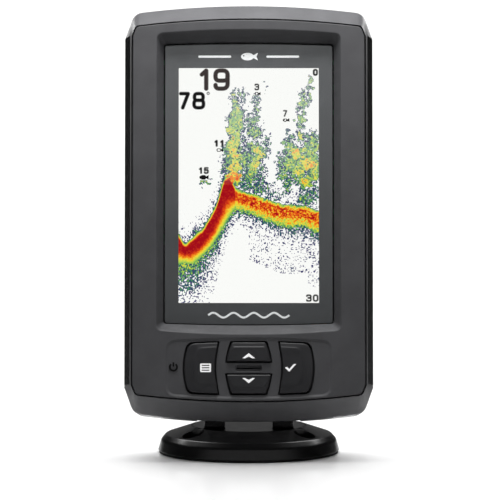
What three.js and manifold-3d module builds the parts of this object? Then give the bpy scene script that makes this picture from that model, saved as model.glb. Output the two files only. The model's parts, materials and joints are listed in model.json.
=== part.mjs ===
// A portable fish finder on a tilting, swivelling quick-release stand.
// Millimetres, +Z up. The display faces -Y. The origin is the centre of the stand's underside,
// on the swivel axis.

import * as THREE from 'three';
import { mergeVertices } from 'three/addons/utils/BufferGeometryUtils.js';
import Module from 'manifold-3d';

const wasm = await Module();
wasm.setup();

// ---------------------------------------------------------------------------------------------
// Driving dimensions
// ---------------------------------------------------------------------------------------------

// Head: its own frame has x to the right, y back from the bezel's face and z up along the face.
const HEAD_LEAN = THREE.MathUtils.degToRad(13); // how far the head leans back at rest
const TILT_AXIS_HEIGHT = 38; // above the table
const TILT_AXIS_DEPTH = 27; // behind the bezel's face
const TILT_AXIS_DROP = 55.3; // below the head's middle

// Outlines of the head: widths and heights are measured from the middle.
const CASE_OUTLINE = {
  halfWidth: 49.15, shoulder: 69.5, cornerX: 45.4, cornerZ: 80, crown: 83.03, corner: 3.2,
};
const BEZEL_OUTLINE = {
  halfWidth: 46.1, shoulder: 69.3, cornerX: 44.6, cornerZ: 73.3, crown: 76.1, corner: 1.4,
};
const RECESS_OUTLINE = {
  halfWidth: 36.4, shoulder: 30, cornerX: 36.4, cornerZ: 59.1, crown: 60.7, corner: 2.6,
};
const LENS_OUTLINE = {
  halfWidth: 33.7, shoulder: 30, cornerX: 33.7, cornerZ: 55.9, crown: 56.6, corner: 1.2,
};
const RECESS_MIDDLE = 11.25; // the display recess sits above the head's middle

const CASE_DEPTH = 36;
const WIDEST_DEPTH = 9.1; // where the sloping rim meets the sides
const RIM_FRONT = 0.5;
const BACK_RADIUS = 10; // rounding between the sides and the back
const SIDE_DRAFT = 1.2; // the sides close in by this much towards the back
const WALL = 2.2;
const SEAM = 0.25; // half of the dark seam round the bezel
const GAP = 0.15; // assembly clearance between pieces

const BEZEL_THICKNESS = 2.4;
const SKIRT_DEPTH = 8; // end of the bezel's skirt
const SEAL_LEDGE = 9.5; // where the housing's ledge carries the seal

// Display stack, front to back.
const LENS_FRONT = 5.5;
const LENS_BACK = 6.9;
const MASK_THICKNESS = 0.2;
const SEAL_THICKNESS = 0.4;
const PICTURE = { halfWidth: 27.75, bottom: -36.24, top: 57.65 };
const LCD_MARGIN = 2.65; // metal frame beyond the picture
const LCD_FRONT = 7.35;
const LCD_BACK = 11.2;

// Keys. The outlines are the middle of the gap round each key.
const KEY_GAP = 0.2;
const KEY_PROUD = 0.9;
const KEY_TRAVEL = 0.8;
const KEY_TOP = -52.4;
const KEY_BOTTOM = -73.3;
const KEY_MIDDLE = (KEY_TOP + KEY_BOTTOM) / 2;
const ROCKER_HEIGHT = 8.15; // height of the up key and of the down key
const SIDE_KEY_CENTRE = 18.6;
const MEMBRANE_FRONT = 5.25;

// Bay in the back of the head that takes the stand's cradle.
const BAY_HALF_WIDTH = 20.5;
const BAY_TOP = -17;
const BAY_FLOOR = 14; // depth of the wall in front of the bay
const BAY_WALL = 2.4;

// Case screws and inner posts.
const SCREW_X = 40.6;
const SCREW_ROWS = [66, 2, -66];
const SCREW_SEAT = 20; // depth of the seat under each screw head

const BOARD_FRONT = 14;
const BOARD_BACK = 15.6;
const BOARD_POSTS = [[-32.4, -7], [32.4, -7], [-32.4, 57], [32.4, 57]];
const KEYPAD_POST_X = 29.2;
const KEYPAD_BOARD_FRONT = 8.6;
const KEYPAD_BOARD_BACK = 10.2;

// Sockets on the back.
const SOCKET_X = 16;
const SOCKET_Z = 5;
const SOCKET_DECK = 33; // depth of the recessed panel that carries them

// Cradle and latch, in the head's frame.
const RAIL_HALF_WIDTH = 8.7;
const RAIL_BACK = 18.2;
const RAIL_FLOOR = 15.6;
const BARREL_RADIUS = 8.4;
const BARREL_HALF_WIDTH = 8.6;
const LATCH_PIN = { depth: 23, z: -36 };
const PIN_HOLE = 1.15;
const RAIL_SCREWS = [-39, -60]; // places along the rail

// Stand.
const BASE_PROFILE = {
  radius: 36.1, bead: 34.7, beadHeight: 5.2, shoulder: 33, shoulderHeight: 7.3, disc: 22.6, top: 10.8,
};
const PAD_THICKNESS = 1;
const DISC_SEAT = 8.1;
const SPIGOT_RADIUS = 12;
const BASE_SHELF = 5.2; // height of the shelf above the retaining ring
const ARM_INNER = 9.5;
const ARM_OUTER = 17.6;
const ARM_RADIUS = 10.5;
const ARM_FOOT = 12.8; // half the arm's length where it stands on the disc
const BOLT_RADIUS = 2.5;
const BOLT_HOLE = 2.65;
const BASE_HOLES = [[-22, -16.5], [22, -16.5], [-22, 16.5], [22, 16.5]];
const RING_SCREW_CIRCLE = 8.2;
const RING_SCREW_ANGLES = [90, 210, 330].map(THREE.MathUtils.degToRad);

// ---------------------------------------------------------------------------------------------
// Joining and cutting closed solids
// ---------------------------------------------------------------------------------------------

function toSolid(geometry) {
  const bare = geometry.clone();
  bare.deleteAttribute('normal');
  bare.deleteAttribute('uv');
  const welded = mergeVertices(bare, 1e-4);
  const mesh = new wasm.Mesh({
    numProp: 3,
    vertProperties: new Float32Array(welded.attributes.position.array),
    triVerts: new Uint32Array(welded.index.array),
  });
  mesh.merge();
  return new wasm.Manifold(mesh);
}

function toGeometry(solid) {
  const mesh = solid.getMesh();
  const geometry = new THREE.BufferGeometry();
  geometry.setAttribute('position', new THREE.BufferAttribute(new Float32Array(mesh.vertProperties), 3));
  geometry.setIndex(new THREE.BufferAttribute(new Uint32Array(mesh.triVerts), 1));
  geometry.computeVertexNormals();
  return geometry;
}

function join(...geometries) {
  return toGeometry(geometries.map(toSolid).reduce((sum, solid) => sum.add(solid)));
}

function cut(geometry, ...tools) {
  return toGeometry(tools.map(toSolid).reduce((rest, tool) => rest.subtract(tool), toSolid(geometry)));
}

function common(geometry, other) {
  return toGeometry(toSolid(geometry).intersect(toSolid(other)));
}

// A copy reflected left to right, with its faces still pointing out.
function mirrored(geometry) {
  return toGeometry(toSolid(geometry).mirror([1, 0, 0]));
}

// ---------------------------------------------------------------------------------------------
// Basic closed forms
// ---------------------------------------------------------------------------------------------

function block(x0, x1, y0, y1, z0, z1) {
  const box = new THREE.BoxGeometry(x1 - x0, y1 - y0, z1 - z0);
  return box.translate((x0 + x1) / 2, (y0 + y1) / 2, (z0 + z1) / 2);
}

function drumAlongY(radius, front, back, x, z, sides = 20) {
  const drum = new THREE.CylinderGeometry(radius, radius, back - front, sides);
  return drum.translate(x, (front + back) / 2, z);
}

function drumAlongX(radius, left, right, y, z, sides = 20) {
  const drum = new THREE.CylinderGeometry(radius, radius, right - left, sides);
  return drum.rotateZ(Math.PI / 2).translate((left + right) / 2, y, z);
}

function drumAlongZ(radius, low, high, x, y, sides = 20) {
  const drum = new THREE.CylinderGeometry(radius, radius, high - low, sides);
  return drum.rotateX(Math.PI / 2).translate(x, y, (low + high) / 2);
}

// A flat outline in x and z, made into a plate between two depths.
function plate(shape, front, back, curveSegments = 3) {
  const slab = new THREE.ExtrudeGeometry(shape, { depth: back - front, bevelEnabled: false, curveSegments });
  return slab.rotateX(Math.PI / 2).translate(0, back, 0);
}

// A side profile in y and z, made into a slab between two x.
function sideSlab(shape, left, right, curveSegments = 10) {
  const slab = new THREE.ExtrudeGeometry(shape, { depth: right - left, bevelEnabled: false, curveSegments });
  const turn = new THREE.Matrix4().makeBasis(
    new THREE.Vector3(0, 1, 0), new THREE.Vector3(0, 0, 1), new THREE.Vector3(1, 0, 0));
  return slab.applyMatrix4(turn).translate(left, 0, 0);
}

// A turned part: the profile is [radius, height] pairs, and the axis runs along +Z.
function turned(profile, sides = 32) {
  const points = profile.map(([radius, height]) => new THREE.Vector2(radius, height));
  return new THREE.LatheGeometry(points, sides).rotateX(Math.PI / 2);
}

// A ring keeps its profile off the axis and closes it on itself.
function turnedRing(inner, outer, low, high, sides = 32) {
  return turned([[inner, low], [outer, low], [outer, high], [inner, high], [inner, low]], sides);
}

// A polygon whose corners are eased by a curve that starts `reach` away from each corner.
function softPolygon(corners) {
  const shape = new THREE.Shape();
  corners.forEach(([x, z, reach], i) => {
    const [px, pz] = corners[(i + corners.length - 1) % corners.length];
    const [nx, nz] = corners[(i + 1) % corners.length];
    const before = new THREE.Vector2(px - x, pz - z).setLength(reach);
    const after = new THREE.Vector2(nx - x, nz - z).setLength(reach);
    if (i === 0) {
      shape.moveTo(x + before.x, z + before.y);
    } else {
      shape.lineTo(x + before.x, z + before.y);
    }
    shape.quadraticCurveTo(x, z, x + after.x, z + after.y);
  });
  return shape;
}

function softRectangle(left, right, bottom, top, reach) {
  return softPolygon([[left, bottom, reach], [right, bottom, reach], [right, top, reach], [left, top, reach]]);
}

// The head's outline, moved in by `inset`: straight sides, a chamfer from the shoulder to an eased
// corner, and a gently crowned top and bottom. Every call gives the same number of points.
function outline(form, inset, middle = 0, cornerSteps = 3, crownSteps = 3) {
  const slope = (form.halfWidth - form.cornerX) / (form.cornerZ - form.shoulder);
  const stretch = Math.hypot(1, slope);
  const crown = (form.crown - form.cornerZ) / form.cornerX ** 2;
  const shoulder = form.shoulder + (slope > 0 ? inset * (1 - stretch) / slope : 0);
  let cornerX = form.cornerX - inset;
  let cornerZ = form.cornerZ;
  for (let pass = 0; pass < 6; pass += 1) {
    cornerZ = form.crown - inset - crown * cornerX ** 2;
    cornerX = form.halfWidth - slope * (cornerZ - form.shoulder) - inset * stretch;
  }
  const reach = Math.max(form.corner - inset * 0.35, 0.3);
  const down = new THREE.Vector2(form.halfWidth - inset - cornerX, shoulder - cornerZ).setLength(reach);
  const startX = cornerX - reach;
  const corner = new THREE.Vector2(cornerX, cornerZ);
  const ease = new THREE.QuadraticBezierCurve(
    corner.clone().add(down), corner,
    new THREE.Vector2(startX, form.crown - inset - crown * startX ** 2));
  const quarter = [new THREE.Vector2(form.halfWidth - inset, shoulder), ...ease.getPoints(cornerSteps)];
  for (let step = 1; step <= crownSteps; step += 1) {
    const x = startX * (1 - step / crownSteps);
    quarter.push(new THREE.Vector2(x, form.crown - inset - crown * x ** 2));
  }
  const left = quarter.slice(0, -1).reverse().map((p) => new THREE.Vector2(-p.x, p.y));
  const upper = [...quarter, ...left];
  const lower = upper.map((p) => new THREE.Vector2(-p.x, -p.y));
  return [...upper, ...lower].map((p) => new THREE.Vector2(p.x, p.y + middle));
}

function between(a, b, share) {
  return a.map((point, i) => point.clone().lerp(b[i], share));
}

// A closed skin over outlines at rising depths.
function loft(rings) {
  const count = rings[0].points.length;
  const positions = rings.flatMap(({ depth, points }) => points.flatMap((p) => [p.x, depth, p.y]));
  const index = [];
  for (let ring = 0; ring + 1 < rings.length; ring += 1) {
    for (let i = 0; i < count; i += 1) {
      const a = ring * count + i;
      const b = ring * count + (i + 1) % count;
      index.push(a, a + count, b, b, a + count, b + count);
    }
  }
  const last = (rings.length - 1) * count;
  THREE.ShapeUtils.triangulateShape(rings[0].points, []).forEach(([a, b, c]) => index.push(a, b, c));
  THREE.ShapeUtils.triangulateShape(rings.at(-1).points, [])
    .forEach(([a, b, c]) => index.push(last + a, last + c, last + b));
  const geometry = new THREE.BufferGeometry();
  geometry.setAttribute('position', new THREE.Float32BufferAttribute(positions, 3));
  geometry.setIndex(index);
  return geometry;
}

function prism(points, front, back) {
  return loft([{ depth: front, points }, { depth: back, points }]);
}

// A thin strip that follows a curve in y and z.
function strip(stations, thickness, left, right) {
  const curve = new THREE.SplineCurve(stations.map(([y, z]) => new THREE.Vector2(y, z)));
  const steps = 14;
  const upper = [];
  const lower = [];
  for (let i = 0; i <= steps; i += 1) {
    const point = curve.getPoint(i / steps);
    const along = curve.getTangent(i / steps);
    const across = new THREE.Vector2(-along.y, along.x).multiplyScalar(thickness / 2);
    upper.push(point.clone().add(across));
    lower.unshift(point.clone().sub(across));
  }
  return sideSlab(new THREE.Shape([...upper, ...lower]), left, right);
}

function wire(points, radius, steps = 18, sides = 8) {
  const path = points instanceof THREE.Curve
    ? points : new THREE.CatmullRomCurve3(points.map((p) => new THREE.Vector3(...p)));
  const section = new THREE.Shape();
  section.absarc(0, 0, radius, 0, Math.PI * 2);
  return new THREE.ExtrudeGeometry(section, { steps, curveSegments: sides, extrudePath: path });
}

class Helix extends THREE.Curve {
  constructor(radius, low, high, turns) {
    super();
    Object.assign(this, { radius, low, high, turns });
  }

  getPoint(t) {
    const angle = t * this.turns * Math.PI * 2;
    const height = this.low + t * (this.high - this.low);
    return new THREE.Vector3(this.radius * Math.cos(angle), height, this.radius * Math.sin(angle));
  }
}

// ---------------------------------------------------------------------------------------------
// Materials and assembly helpers
// ---------------------------------------------------------------------------------------------

const FINISHES = {
  satinGrey: { color: 0x4b4c4f, roughness: 0.55, metalness: 0 },
  darkKey: { color: 0x2c2c2e, roughness: 0.5, metalness: 0 },
  glossBlack: { color: 0x0b0b0c, roughness: 0.18, metalness: 0 },
  moulded: { color: 0x1d1e20, roughness: 0.6, metalness: 0 },
  rubber: { color: 0x1a1a1a, roughness: 0.9, metalness: 0 },
  film: { color: 0x4f5054, roughness: 0.45, metalness: 0 },
  lens: { color: 0xe8eef2, roughness: 0.05, metalness: 0 },
  picture: { color: 0xf4f6f4, roughness: 0.3, metalness: 0 },
  diffuser: { color: 0xf2f2ee, roughness: 0.7, metalness: 0 },
  steel: { color: 0xb9bcc0, roughness: 0.32, metalness: 1 },
  brass: { color: 0xc9a24a, roughness: 0.35, metalness: 1 },
  circuit: { color: 0x1f5a3a, roughness: 0.5, metalness: 0 },
  flex: { color: 0xb06a1c, roughness: 0.4, metalness: 0 },
  cable: { color: 0x15151a, roughness: 0.6, metalness: 0 },
};

function piece(parent, name, finish, geometry, place = [0, 0, 0]) {
  const mesh = new THREE.Mesh(geometry, new THREE.MeshStandardMaterial(FINISHES[finish]));
  mesh.name = name;
  mesh.position.set(...place);
  parent.add(mesh);
}

// ---------------------------------------------------------------------------------------------
// Head: case
// ---------------------------------------------------------------------------------------------

// The outer skin of the case: a sloping rim, drafted sides and a rounded back.
function caseSkin() {
  const rim = outline(BEZEL_OUTLINE, -SEAM);
  const widest = outline(CASE_OUTLINE, 0);
  const rings = [
    { depth: RIM_FRONT, points: rim },
    { depth: 8.2, points: between(rim, widest, 0.93) },
    { depth: WIDEST_DEPTH, points: widest },
    { depth: CASE_DEPTH - BACK_RADIUS, points: outline(CASE_OUTLINE, SIDE_DRAFT) },
  ];
  const steps = 4;
  for (let step = 1; step <= steps; step += 1) {
    const angle = (step / steps) * Math.PI / 2;
    const inset = SIDE_DRAFT + BACK_RADIUS * (1 - Math.cos(angle));
    const depth = CASE_DEPTH - BACK_RADIUS * (1 - Math.sin(angle));
    rings.push({ depth, points: outline(CASE_OUTLINE, inset) });
  }
  return loft(rings);
}

// The room inside the case, a wall's thickness behind the skin.
function caseRoom() {
  const radius = BACK_RADIUS - WALL;
  const front = SEAL_LEDGE + 2;
  const rings = [{ depth: front, points: outline(CASE_OUTLINE, WALL + 0.5) }];
  const steps = 2;
  for (let step = 0; step <= steps; step += 1) {
    const angle = (step / steps) * Math.PI / 2;
    const inset = SIDE_DRAFT + WALL + radius * (1 - Math.cos(angle));
    rings.push({ depth: CASE_DEPTH - WALL - radius * (1 - Math.sin(angle)), points: outline(CASE_OUTLINE, inset) });
  }
  return loft(rings);
}

const GRIP_BOTTOM = -69;
const GRIP_TOP = 69.8;
const GRIP_BACK = 24;

// The bar that the right grip fills, `slack` larger than the grip on every side.
function gripBar(slack) {
  const section = new THREE.Shape([
    new THREE.Vector2(46.85 - slack, -1),
    new THREE.Vector2(60, -1),
    new THREE.Vector2(60, GRIP_BACK + slack),
    new THREE.Vector2(47.4 - slack, GRIP_BACK + slack),
    new THREE.Vector2(47.4 - slack, 5.5),
    new THREE.Vector2(46.85 - slack, 0.6),
  ]);
  const length = GRIP_TOP - GRIP_BOTTOM + 2 * slack;
  const bar = new THREE.ExtrudeGeometry(section, { depth: length, bevelEnabled: false });
  return bar.translate(0, 0, GRIP_BOTTOM - slack);
}

function socketHoles(radius, front, back) {
  return [-SOCKET_X, SOCKET_X].map((x) => drumAlongY(radius, front, back, x, SOCKET_Z, 20));
}

function screwPlaces() {
  return SCREW_ROWS.flatMap((z) => [[-SCREW_X, z], [SCREW_X, z]]);
}

function rearHousing() {
  const bayTop = BAY_TOP + WALL;
  const bayBox = block(-BAY_HALF_WIDTH - WALL, BAY_HALF_WIDTH + WALL, BAY_FLOOR - BAY_WALL, 60, -100, bayTop);
  const shell = cut(
    caseSkin(),
    cut(caseRoom(), bayBox, block(-31, 31, SOCKET_DECK - WALL, 60, SOCKET_Z - 14, SOCKET_Z + 16)),
    prism(outline(BEZEL_OUTLINE, -SEAM), -1, SEAL_LEDGE),
    prism(outline(BEZEL_OUTLINE, 2.4), SEAL_LEDGE - 1, SEAL_LEDGE + 3),
    block(-BAY_HALF_WIDTH, BAY_HALF_WIDTH, BAY_FLOOR, 60, -100, BAY_TOP),
    plate(softRectangle(-29, 29, SOCKET_Z - 12, SOCKET_Z + 14, 3), SOCKET_DECK, 60),
    gripBar(GAP),
    mirrored(gripBar(GAP)),
  );
  const screwPosts = screwPlaces().map(([x, z]) => drumAlongY(4.3, 12.6, 32.5, x, z, 16));
  const boardPosts = BOARD_POSTS.flatMap(([x, z]) => [
    drumAlongY(2.6, BOARD_BACK + GAP, 34.5, x, z, 12),
    drumAlongY(1.1, 13.2, 20, x, z, 10),
  ]);
  const posted = join(shell, ...screwPosts, ...boardPosts);
  const screwWays = screwPlaces().flatMap(([x, z]) => [
    drumAlongY(3, SCREW_SEAT, 60, x, z, 16),
    drumAlongY(1.7, 12, SCREW_SEAT + 1, x, z, 12),
  ]);
  const railPilots = RAIL_SCREWS.map((z) => drumAlongY(1.15, 12, BAY_FLOOR + 1, 0, z, 16));
  return cut(posted, ...screwWays, ...railPilots, ...socketHoles(6.6, 28, 40));
}

// The bezel: face plate, funnel round the display, ledge for the lens, skirt and screw bosses.
function frontBezel() {
  const face = outline(BEZEL_OUTLINE, SEAM);
  const lensPocket = outline(LENS_OUTLINE, 0, RECESS_MIDDLE);
  const ledgeBack = LCD_FRONT + 2;
  const shell = join(
    loft([
      { depth: 0, points: outline(BEZEL_OUTLINE, SEAM + 0.4) },
      { depth: 0.4, points: face },
      { depth: BEZEL_THICKNESS, points: face },
    ]),
    cut(prism(face, BEZEL_THICKNESS - 0.5, SKIRT_DEPTH),
      prism(outline(BEZEL_OUTLINE, SEAM + 1), BEZEL_THICKNESS - 1, SKIRT_DEPTH + 1)),
    prism(outline(RECESS_OUTLINE, -0.8, RECESS_MIDDLE), BEZEL_THICKNESS - 0.5, ledgeBack),
    ...screwPlaces().map(([x, z]) => drumAlongY(2.9, BEZEL_THICKNESS - 0.5, 12.3, x, z, 14)),
    ...[-1, 1].flatMap((side) => [
      drumAlongY(2.2, BEZEL_THICKNESS - 0.5, KEYPAD_BOARD_FRONT - GAP, side * KEYPAD_POST_X, KEY_MIDDLE, 16),
      drumAlongY(1, BEZEL_THICKNESS, KEYPAD_BOARD_BACK + 0.7, side * KEYPAD_POST_X, KEY_MIDDLE, 12),
    ]),
  );
  const ledge = PICTURE.halfWidth + LCD_MARGIN + 0.4;
  return cut(
    shell,
    loft([
      { depth: -1, points: outline(RECESS_OUTLINE, -0.49, RECESS_MIDDLE) },
      { depth: LENS_FRONT, points: outline(LENS_OUTLINE, 0, RECESS_MIDDLE) },
    ]),
    prism(lensPocket, LENS_FRONT - 0.01, LENS_BACK + MASK_THICKNESS + SEAL_THICKNESS + 3 * GAP),
    block(-ledge, ledge, 6, 20, PICTURE.bottom - LCD_MARGIN - 0.4, PICTURE.top + LCD_MARGIN + 0.4),
    ...screwPlaces().map(([x, z]) => drumAlongY(1.5, 4.4, 14, x, z, 12)),
    ...KEYS.map((key) => plate(key.shape(-KEY_GAP), -1, 5)),
    plate(softRectangle(-5.2, 5.2, KEY_MIDDLE - 1.2, KEY_MIDDLE + 1.2, 0.9), -1, 0.6),
  );
}

function sideGrip() {
  return common(caseSkin(), gripBar(0));
}

function caseScrew() {
  const body = turned([[0, -14.4], [1.1, -14.4], [1.35, -13.6], [1.35, 0], [2.8, 0], [2.8, 1.2], [2.2, 1.9], [0, 1.9]], 12);
  const slot = block(-0.35, 0.35, -1.7, 1.7, 0.9, 3);
  return cut(body, slot).rotateX(-Math.PI / 2);
}

// ---------------------------------------------------------------------------------------------
// Head: display
// ---------------------------------------------------------------------------------------------

function displayLens() {
  const edge = outline(LENS_OUTLINE, GAP, RECESS_MIDDLE);
  const eased = outline(LENS_OUTLINE, GAP + 0.3, RECESS_MIDDLE);
  return loft([
    { depth: LENS_FRONT, points: eased },
    { depth: LENS_FRONT + 0.3, points: edge },
    { depth: LENS_BACK, points: edge },
  ]);
}

function frameAroundPicture(outerInset, front, back, margin) {
  return cut(
    prism(outline(LENS_OUTLINE, outerInset, RECESS_MIDDLE), front, back),
    block(-PICTURE.halfWidth - margin, PICTURE.halfWidth + margin, front - 1, back + 1,
      PICTURE.bottom - margin, PICTURE.top + margin),
  );
}

function pictureBlock(margin, front, back) {
  return block(-PICTURE.halfWidth - margin, PICTURE.halfWidth + margin, front, back,
    PICTURE.bottom - margin, PICTURE.top + margin);
}

function lcdFrame() {
  return cut(
    pictureBlock(LCD_MARGIN, LCD_FRONT, LCD_BACK),
    pictureBlock(0.45, LCD_FRONT - 1, LCD_FRONT + 1),
    pictureBlock(LCD_MARGIN - 0.5, LCD_FRONT + 0.4, LCD_BACK - 0.4),
    block(-9, 9, LCD_BACK - 1, LCD_BACK + 1, 26, 30),
  );
}

// ---------------------------------------------------------------------------------------------
// Head: keys and electronics
// ---------------------------------------------------------------------------------------------

// A key's outline at the middle of its gap; `inset` moves every edge towards the key.
function sideKeyOutline(side, inset) {
  const top = KEY_TOP - inset;
  const bottom = KEY_BOTTOM + inset;
  const outer = [
    [side * (24.1 - inset), top - 0.5, 2.6],
    [side * (26.4 - inset), KEY_MIDDLE, 6],
    [side * (24.1 - inset), bottom + 0.5, 2.6],
  ];
  const inner = [
    [side * (11.7 + inset), bottom, 0.5],
    [side * (13.55 + inset), KEY_MIDDLE, 6],
    [side * (11.7 + inset), top, 0.5],
  ];
  return softPolygon(side < 0 ? [...outer, ...inner] : [...outer, ...inner].reverse());
}

function rockerOutline(side, inset) {
  const narrowEdge = side > 0 ? KEY_TOP - inset : KEY_BOTTOM + inset;
  const wideEdge = narrowEdge - side * (ROCKER_HEIGHT - 2 * inset);
  const waist = (narrowEdge + wideEdge) / 2;
  const corners = [
    [-7 + inset, narrowEdge, 0.6],
    [-8.35 + inset, waist, 2.5],
    [-9.1 + inset, wideEdge, 0.5],
    [9.1 - inset, wideEdge, 0.5],
    [8.35 - inset, waist, 2.5],
    [7 - inset, narrowEdge, 0.6],
  ];
  return softPolygon(side > 0 ? corners : corners.reverse());
}

const ROCKER_MIDDLE = (KEY_TOP - KEY_BOTTOM - ROCKER_HEIGHT) / 2; // from the middle to each rocker key
const KEYS = [
  { name: 'menu_key', x: -SIDE_KEY_CENTRE, z: KEY_MIDDLE, shape: (inset) => sideKeyOutline(-1, inset) },
  { name: 'up_key', x: 0, z: KEY_MIDDLE + ROCKER_MIDDLE, shape: (inset) => rockerOutline(1, inset) },
  { name: 'down_key', x: 0, z: KEY_MIDDLE - ROCKER_MIDDLE, shape: (inset) => rockerOutline(-1, inset) },
  { name: 'enter_key', x: SIDE_KEY_CENTRE, z: KEY_MIDDLE, shape: (inset) => sideKeyOutline(1, inset) },
];

function keyCap(key) {
  const crown = plate(key.shape(KEY_GAP + 0.35), -KEY_PROUD, -KEY_PROUD + 0.6);
  const body = plate(key.shape(KEY_GAP), -KEY_PROUD + 0.3, 2.8);
  const flange = plate(key.shape(-0.6), BEZEL_THICKNESS + 0.3, 3.4);
  const stem = drumAlongY(1.8, 3, MEMBRANE_FRONT - GAP - KEY_TRAVEL, key.x, key.z, 16);
  return join(crown, body, flange, stem);
}

function tactSwitch() {
  return join(
    block(-2.25, 2.25, -1.6, 0, -2.25, 2.25),
    drumAlongY(1.2, -2.3, -1, 0, 0, 14),
  );
}

function keypadMembrane() {
  return plate(softRectangle(-26.4, 26.4, -72.6, -51.6, 2), MEMBRANE_FRONT, 6);
}

function keypadBoard() {
  const sheet = plate(softRectangle(-32, 32, -72, -53, 1.5), KEYPAD_BOARD_FRONT, KEYPAD_BOARD_BACK);
  const holes = [-1, 1].map((side) => drumAlongY(1.2, 8, 12, side * KEYPAD_POST_X, KEY_MIDDLE, 12));
  return cut(sheet, ...holes);
}

function mainBoard() {
  const sheet = plate(softRectangle(-35.8, 35.8, -12, 62, 2), BOARD_FRONT, BOARD_BACK);
  const fitted = join(
    sheet,
    block(-30, -18, BOARD_BACK - 0.1, BOARD_BACK + 1.4, 10, 22),
    block(18, 26, BOARD_BACK - 0.1, BOARD_BACK + 1.2, 10, 26),
    block(22, 30, BOARD_BACK - 0.1, BOARD_BACK + 3, 34, 44),
    block(-12, 12, BOARD_BACK - 0.1, BOARD_BACK + 2.4, 52, 57),
  );
  return cut(fitted, ...BOARD_POSTS.map(([x, z]) => drumAlongY(1.3, 13, 17, x, z, 10)));
}

function shieldCan() {
  return cut(
    block(-13, 13, BOARD_BACK + GAP, BOARD_BACK + 3, 20, 46),
    block(-12.6, 12.6, BOARD_BACK, BOARD_BACK + 2.6, 20.4, 45.6),
  );
}

function buzzer() {
  return turned([[0, 0], [6, 0], [6, 3.6], [5.4, 4.2], [1, 4.2], [1, 3.4], [0, 3.4]], 24).rotateX(-Math.PI / 2);
}

// A panel socket, open to the back, with its contact pins standing on the floor of the cup.
function panelSocket(pins) {
  const shell = turned([
    [0, 24], [6.3, 24], [6.3, SOCKET_DECK + GAP], [8.2, SOCKET_DECK + GAP], [8.2, 34.9],
    [7.8, 35.4], [5.3, 35.4], [4.9, 34.9], [4.9, 26], [0, 26],
  ], 20).rotateX(-Math.PI / 2);
  const key = block(-0.7, 0.7, 25.5, 34.5, 4.3, 5.2);
  const contacts = Array.from({ length: pins }, (_, i) => {
    const angle = (i / pins) * Math.PI * 2;
    return drumAlongY(0.6, 25.5, 33, 2.3 * Math.cos(angle), 2.3 * Math.sin(angle), 8);
  });
  return join(shell, key, ...contacts);
}

function socketNut() {
  const hexagon = new THREE.CylinderGeometry(8.6, 8.6, 2.2, 6).translate(0, 29.4, 0);
  return cut(hexagon, drumAlongY(6.55, 26, 32, 0, 0, 20));
}

function lead(side) {
  return wire([
    [side * SOCKET_X, 23.7, SOCKET_Z],
    [side * SOCKET_X, 22.2, SOCKET_Z],
    [side * (SOCKET_X - 4), 19.5, SOCKET_Z - 7],
    [side * (SOCKET_X - 7), BOARD_BACK + 2, SOCKET_Z - 10],
    [side * (SOCKET_X - 7), BOARD_BACK + 0.35, SOCKET_Z - 10],
  ], 1.1, 14, 4);
}

// ---------------------------------------------------------------------------------------------
// Head: cradle and latch
// ---------------------------------------------------------------------------------------------

function dockingRail() {
  const body = block(-RAIL_HALF_WIDTH, RAIL_HALF_WIDTH, BAY_FLOOR + GAP, RAIL_BACK, -68, -30);
  return cut(
    body,
    block(-6.3, 6.3, RAIL_FLOOR, 17, -70, -33.4),
    block(-4.25, 4.25, RAIL_FLOOR, 20, -70, -33.4),
    block(-3.2, 3.2, BAY_FLOOR, RAIL_FLOOR + 1, -49, -45.4),
    ...RAIL_SCREWS.map((z) => railScrewBody(0.15).translate(0, RAIL_FLOOR, z)),
  );
}

// A countersunk screw with its head's flat side at zero and its point at lower depth.
function railScrewBody(slack = 0) {
  const head = 2.1 + slack;
  const shank = 0.95 + slack;
  const profile = [[0, -3.3], [shank, -3.3], [shank, -1.2 - slack], [head, -0.1], [head, slack], [0, slack]];
  return turned(profile, 10).rotateX(-Math.PI / 2);
}

function railScrew() {
  return cut(railScrewBody(), block(-1.5, 1.5, -0.6, 1, -0.25, 0.25));
}

function cradle() {
  const earProfile = softPolygon([[19, -48, 0.5], [25.6, -48, 0.5], [25.6, -33, 1.8], [19, -33, 0.5]]);
  const solid = join(
    drumAlongX(BARREL_RADIUS, -BARREL_HALF_WIDTH, BARREL_HALF_WIDTH, TILT_AXIS_DEPTH, -TILT_AXIS_DROP, 24),
    block(-8.4, 8.4, 18.4, 20.4, -64, -26.5),
    block(-4, 4, 16.7, 18.6, -66.5, -34),
    block(-6.1, 6.1, RAIL_FLOOR + GAP, 16.85, -67, -33.8),
    sideSlab(earProfile, 5.6, 8.2, 4),
    sideSlab(earProfile, -8.2, -5.6, 4),
  );
  return cut(
    solid,
    block(-2.7, 2.7, 15, 25, -50.6, -45.4),
    drumAlongX(PIN_HOLE, -10, 10, LATCH_PIN.depth, LATCH_PIN.z, 16),
    drumAlongX(BOLT_HOLE, -10, 10, TILT_AXIS_DEPTH, -TILT_AXIS_DROP, 24),
  );
}

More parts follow.
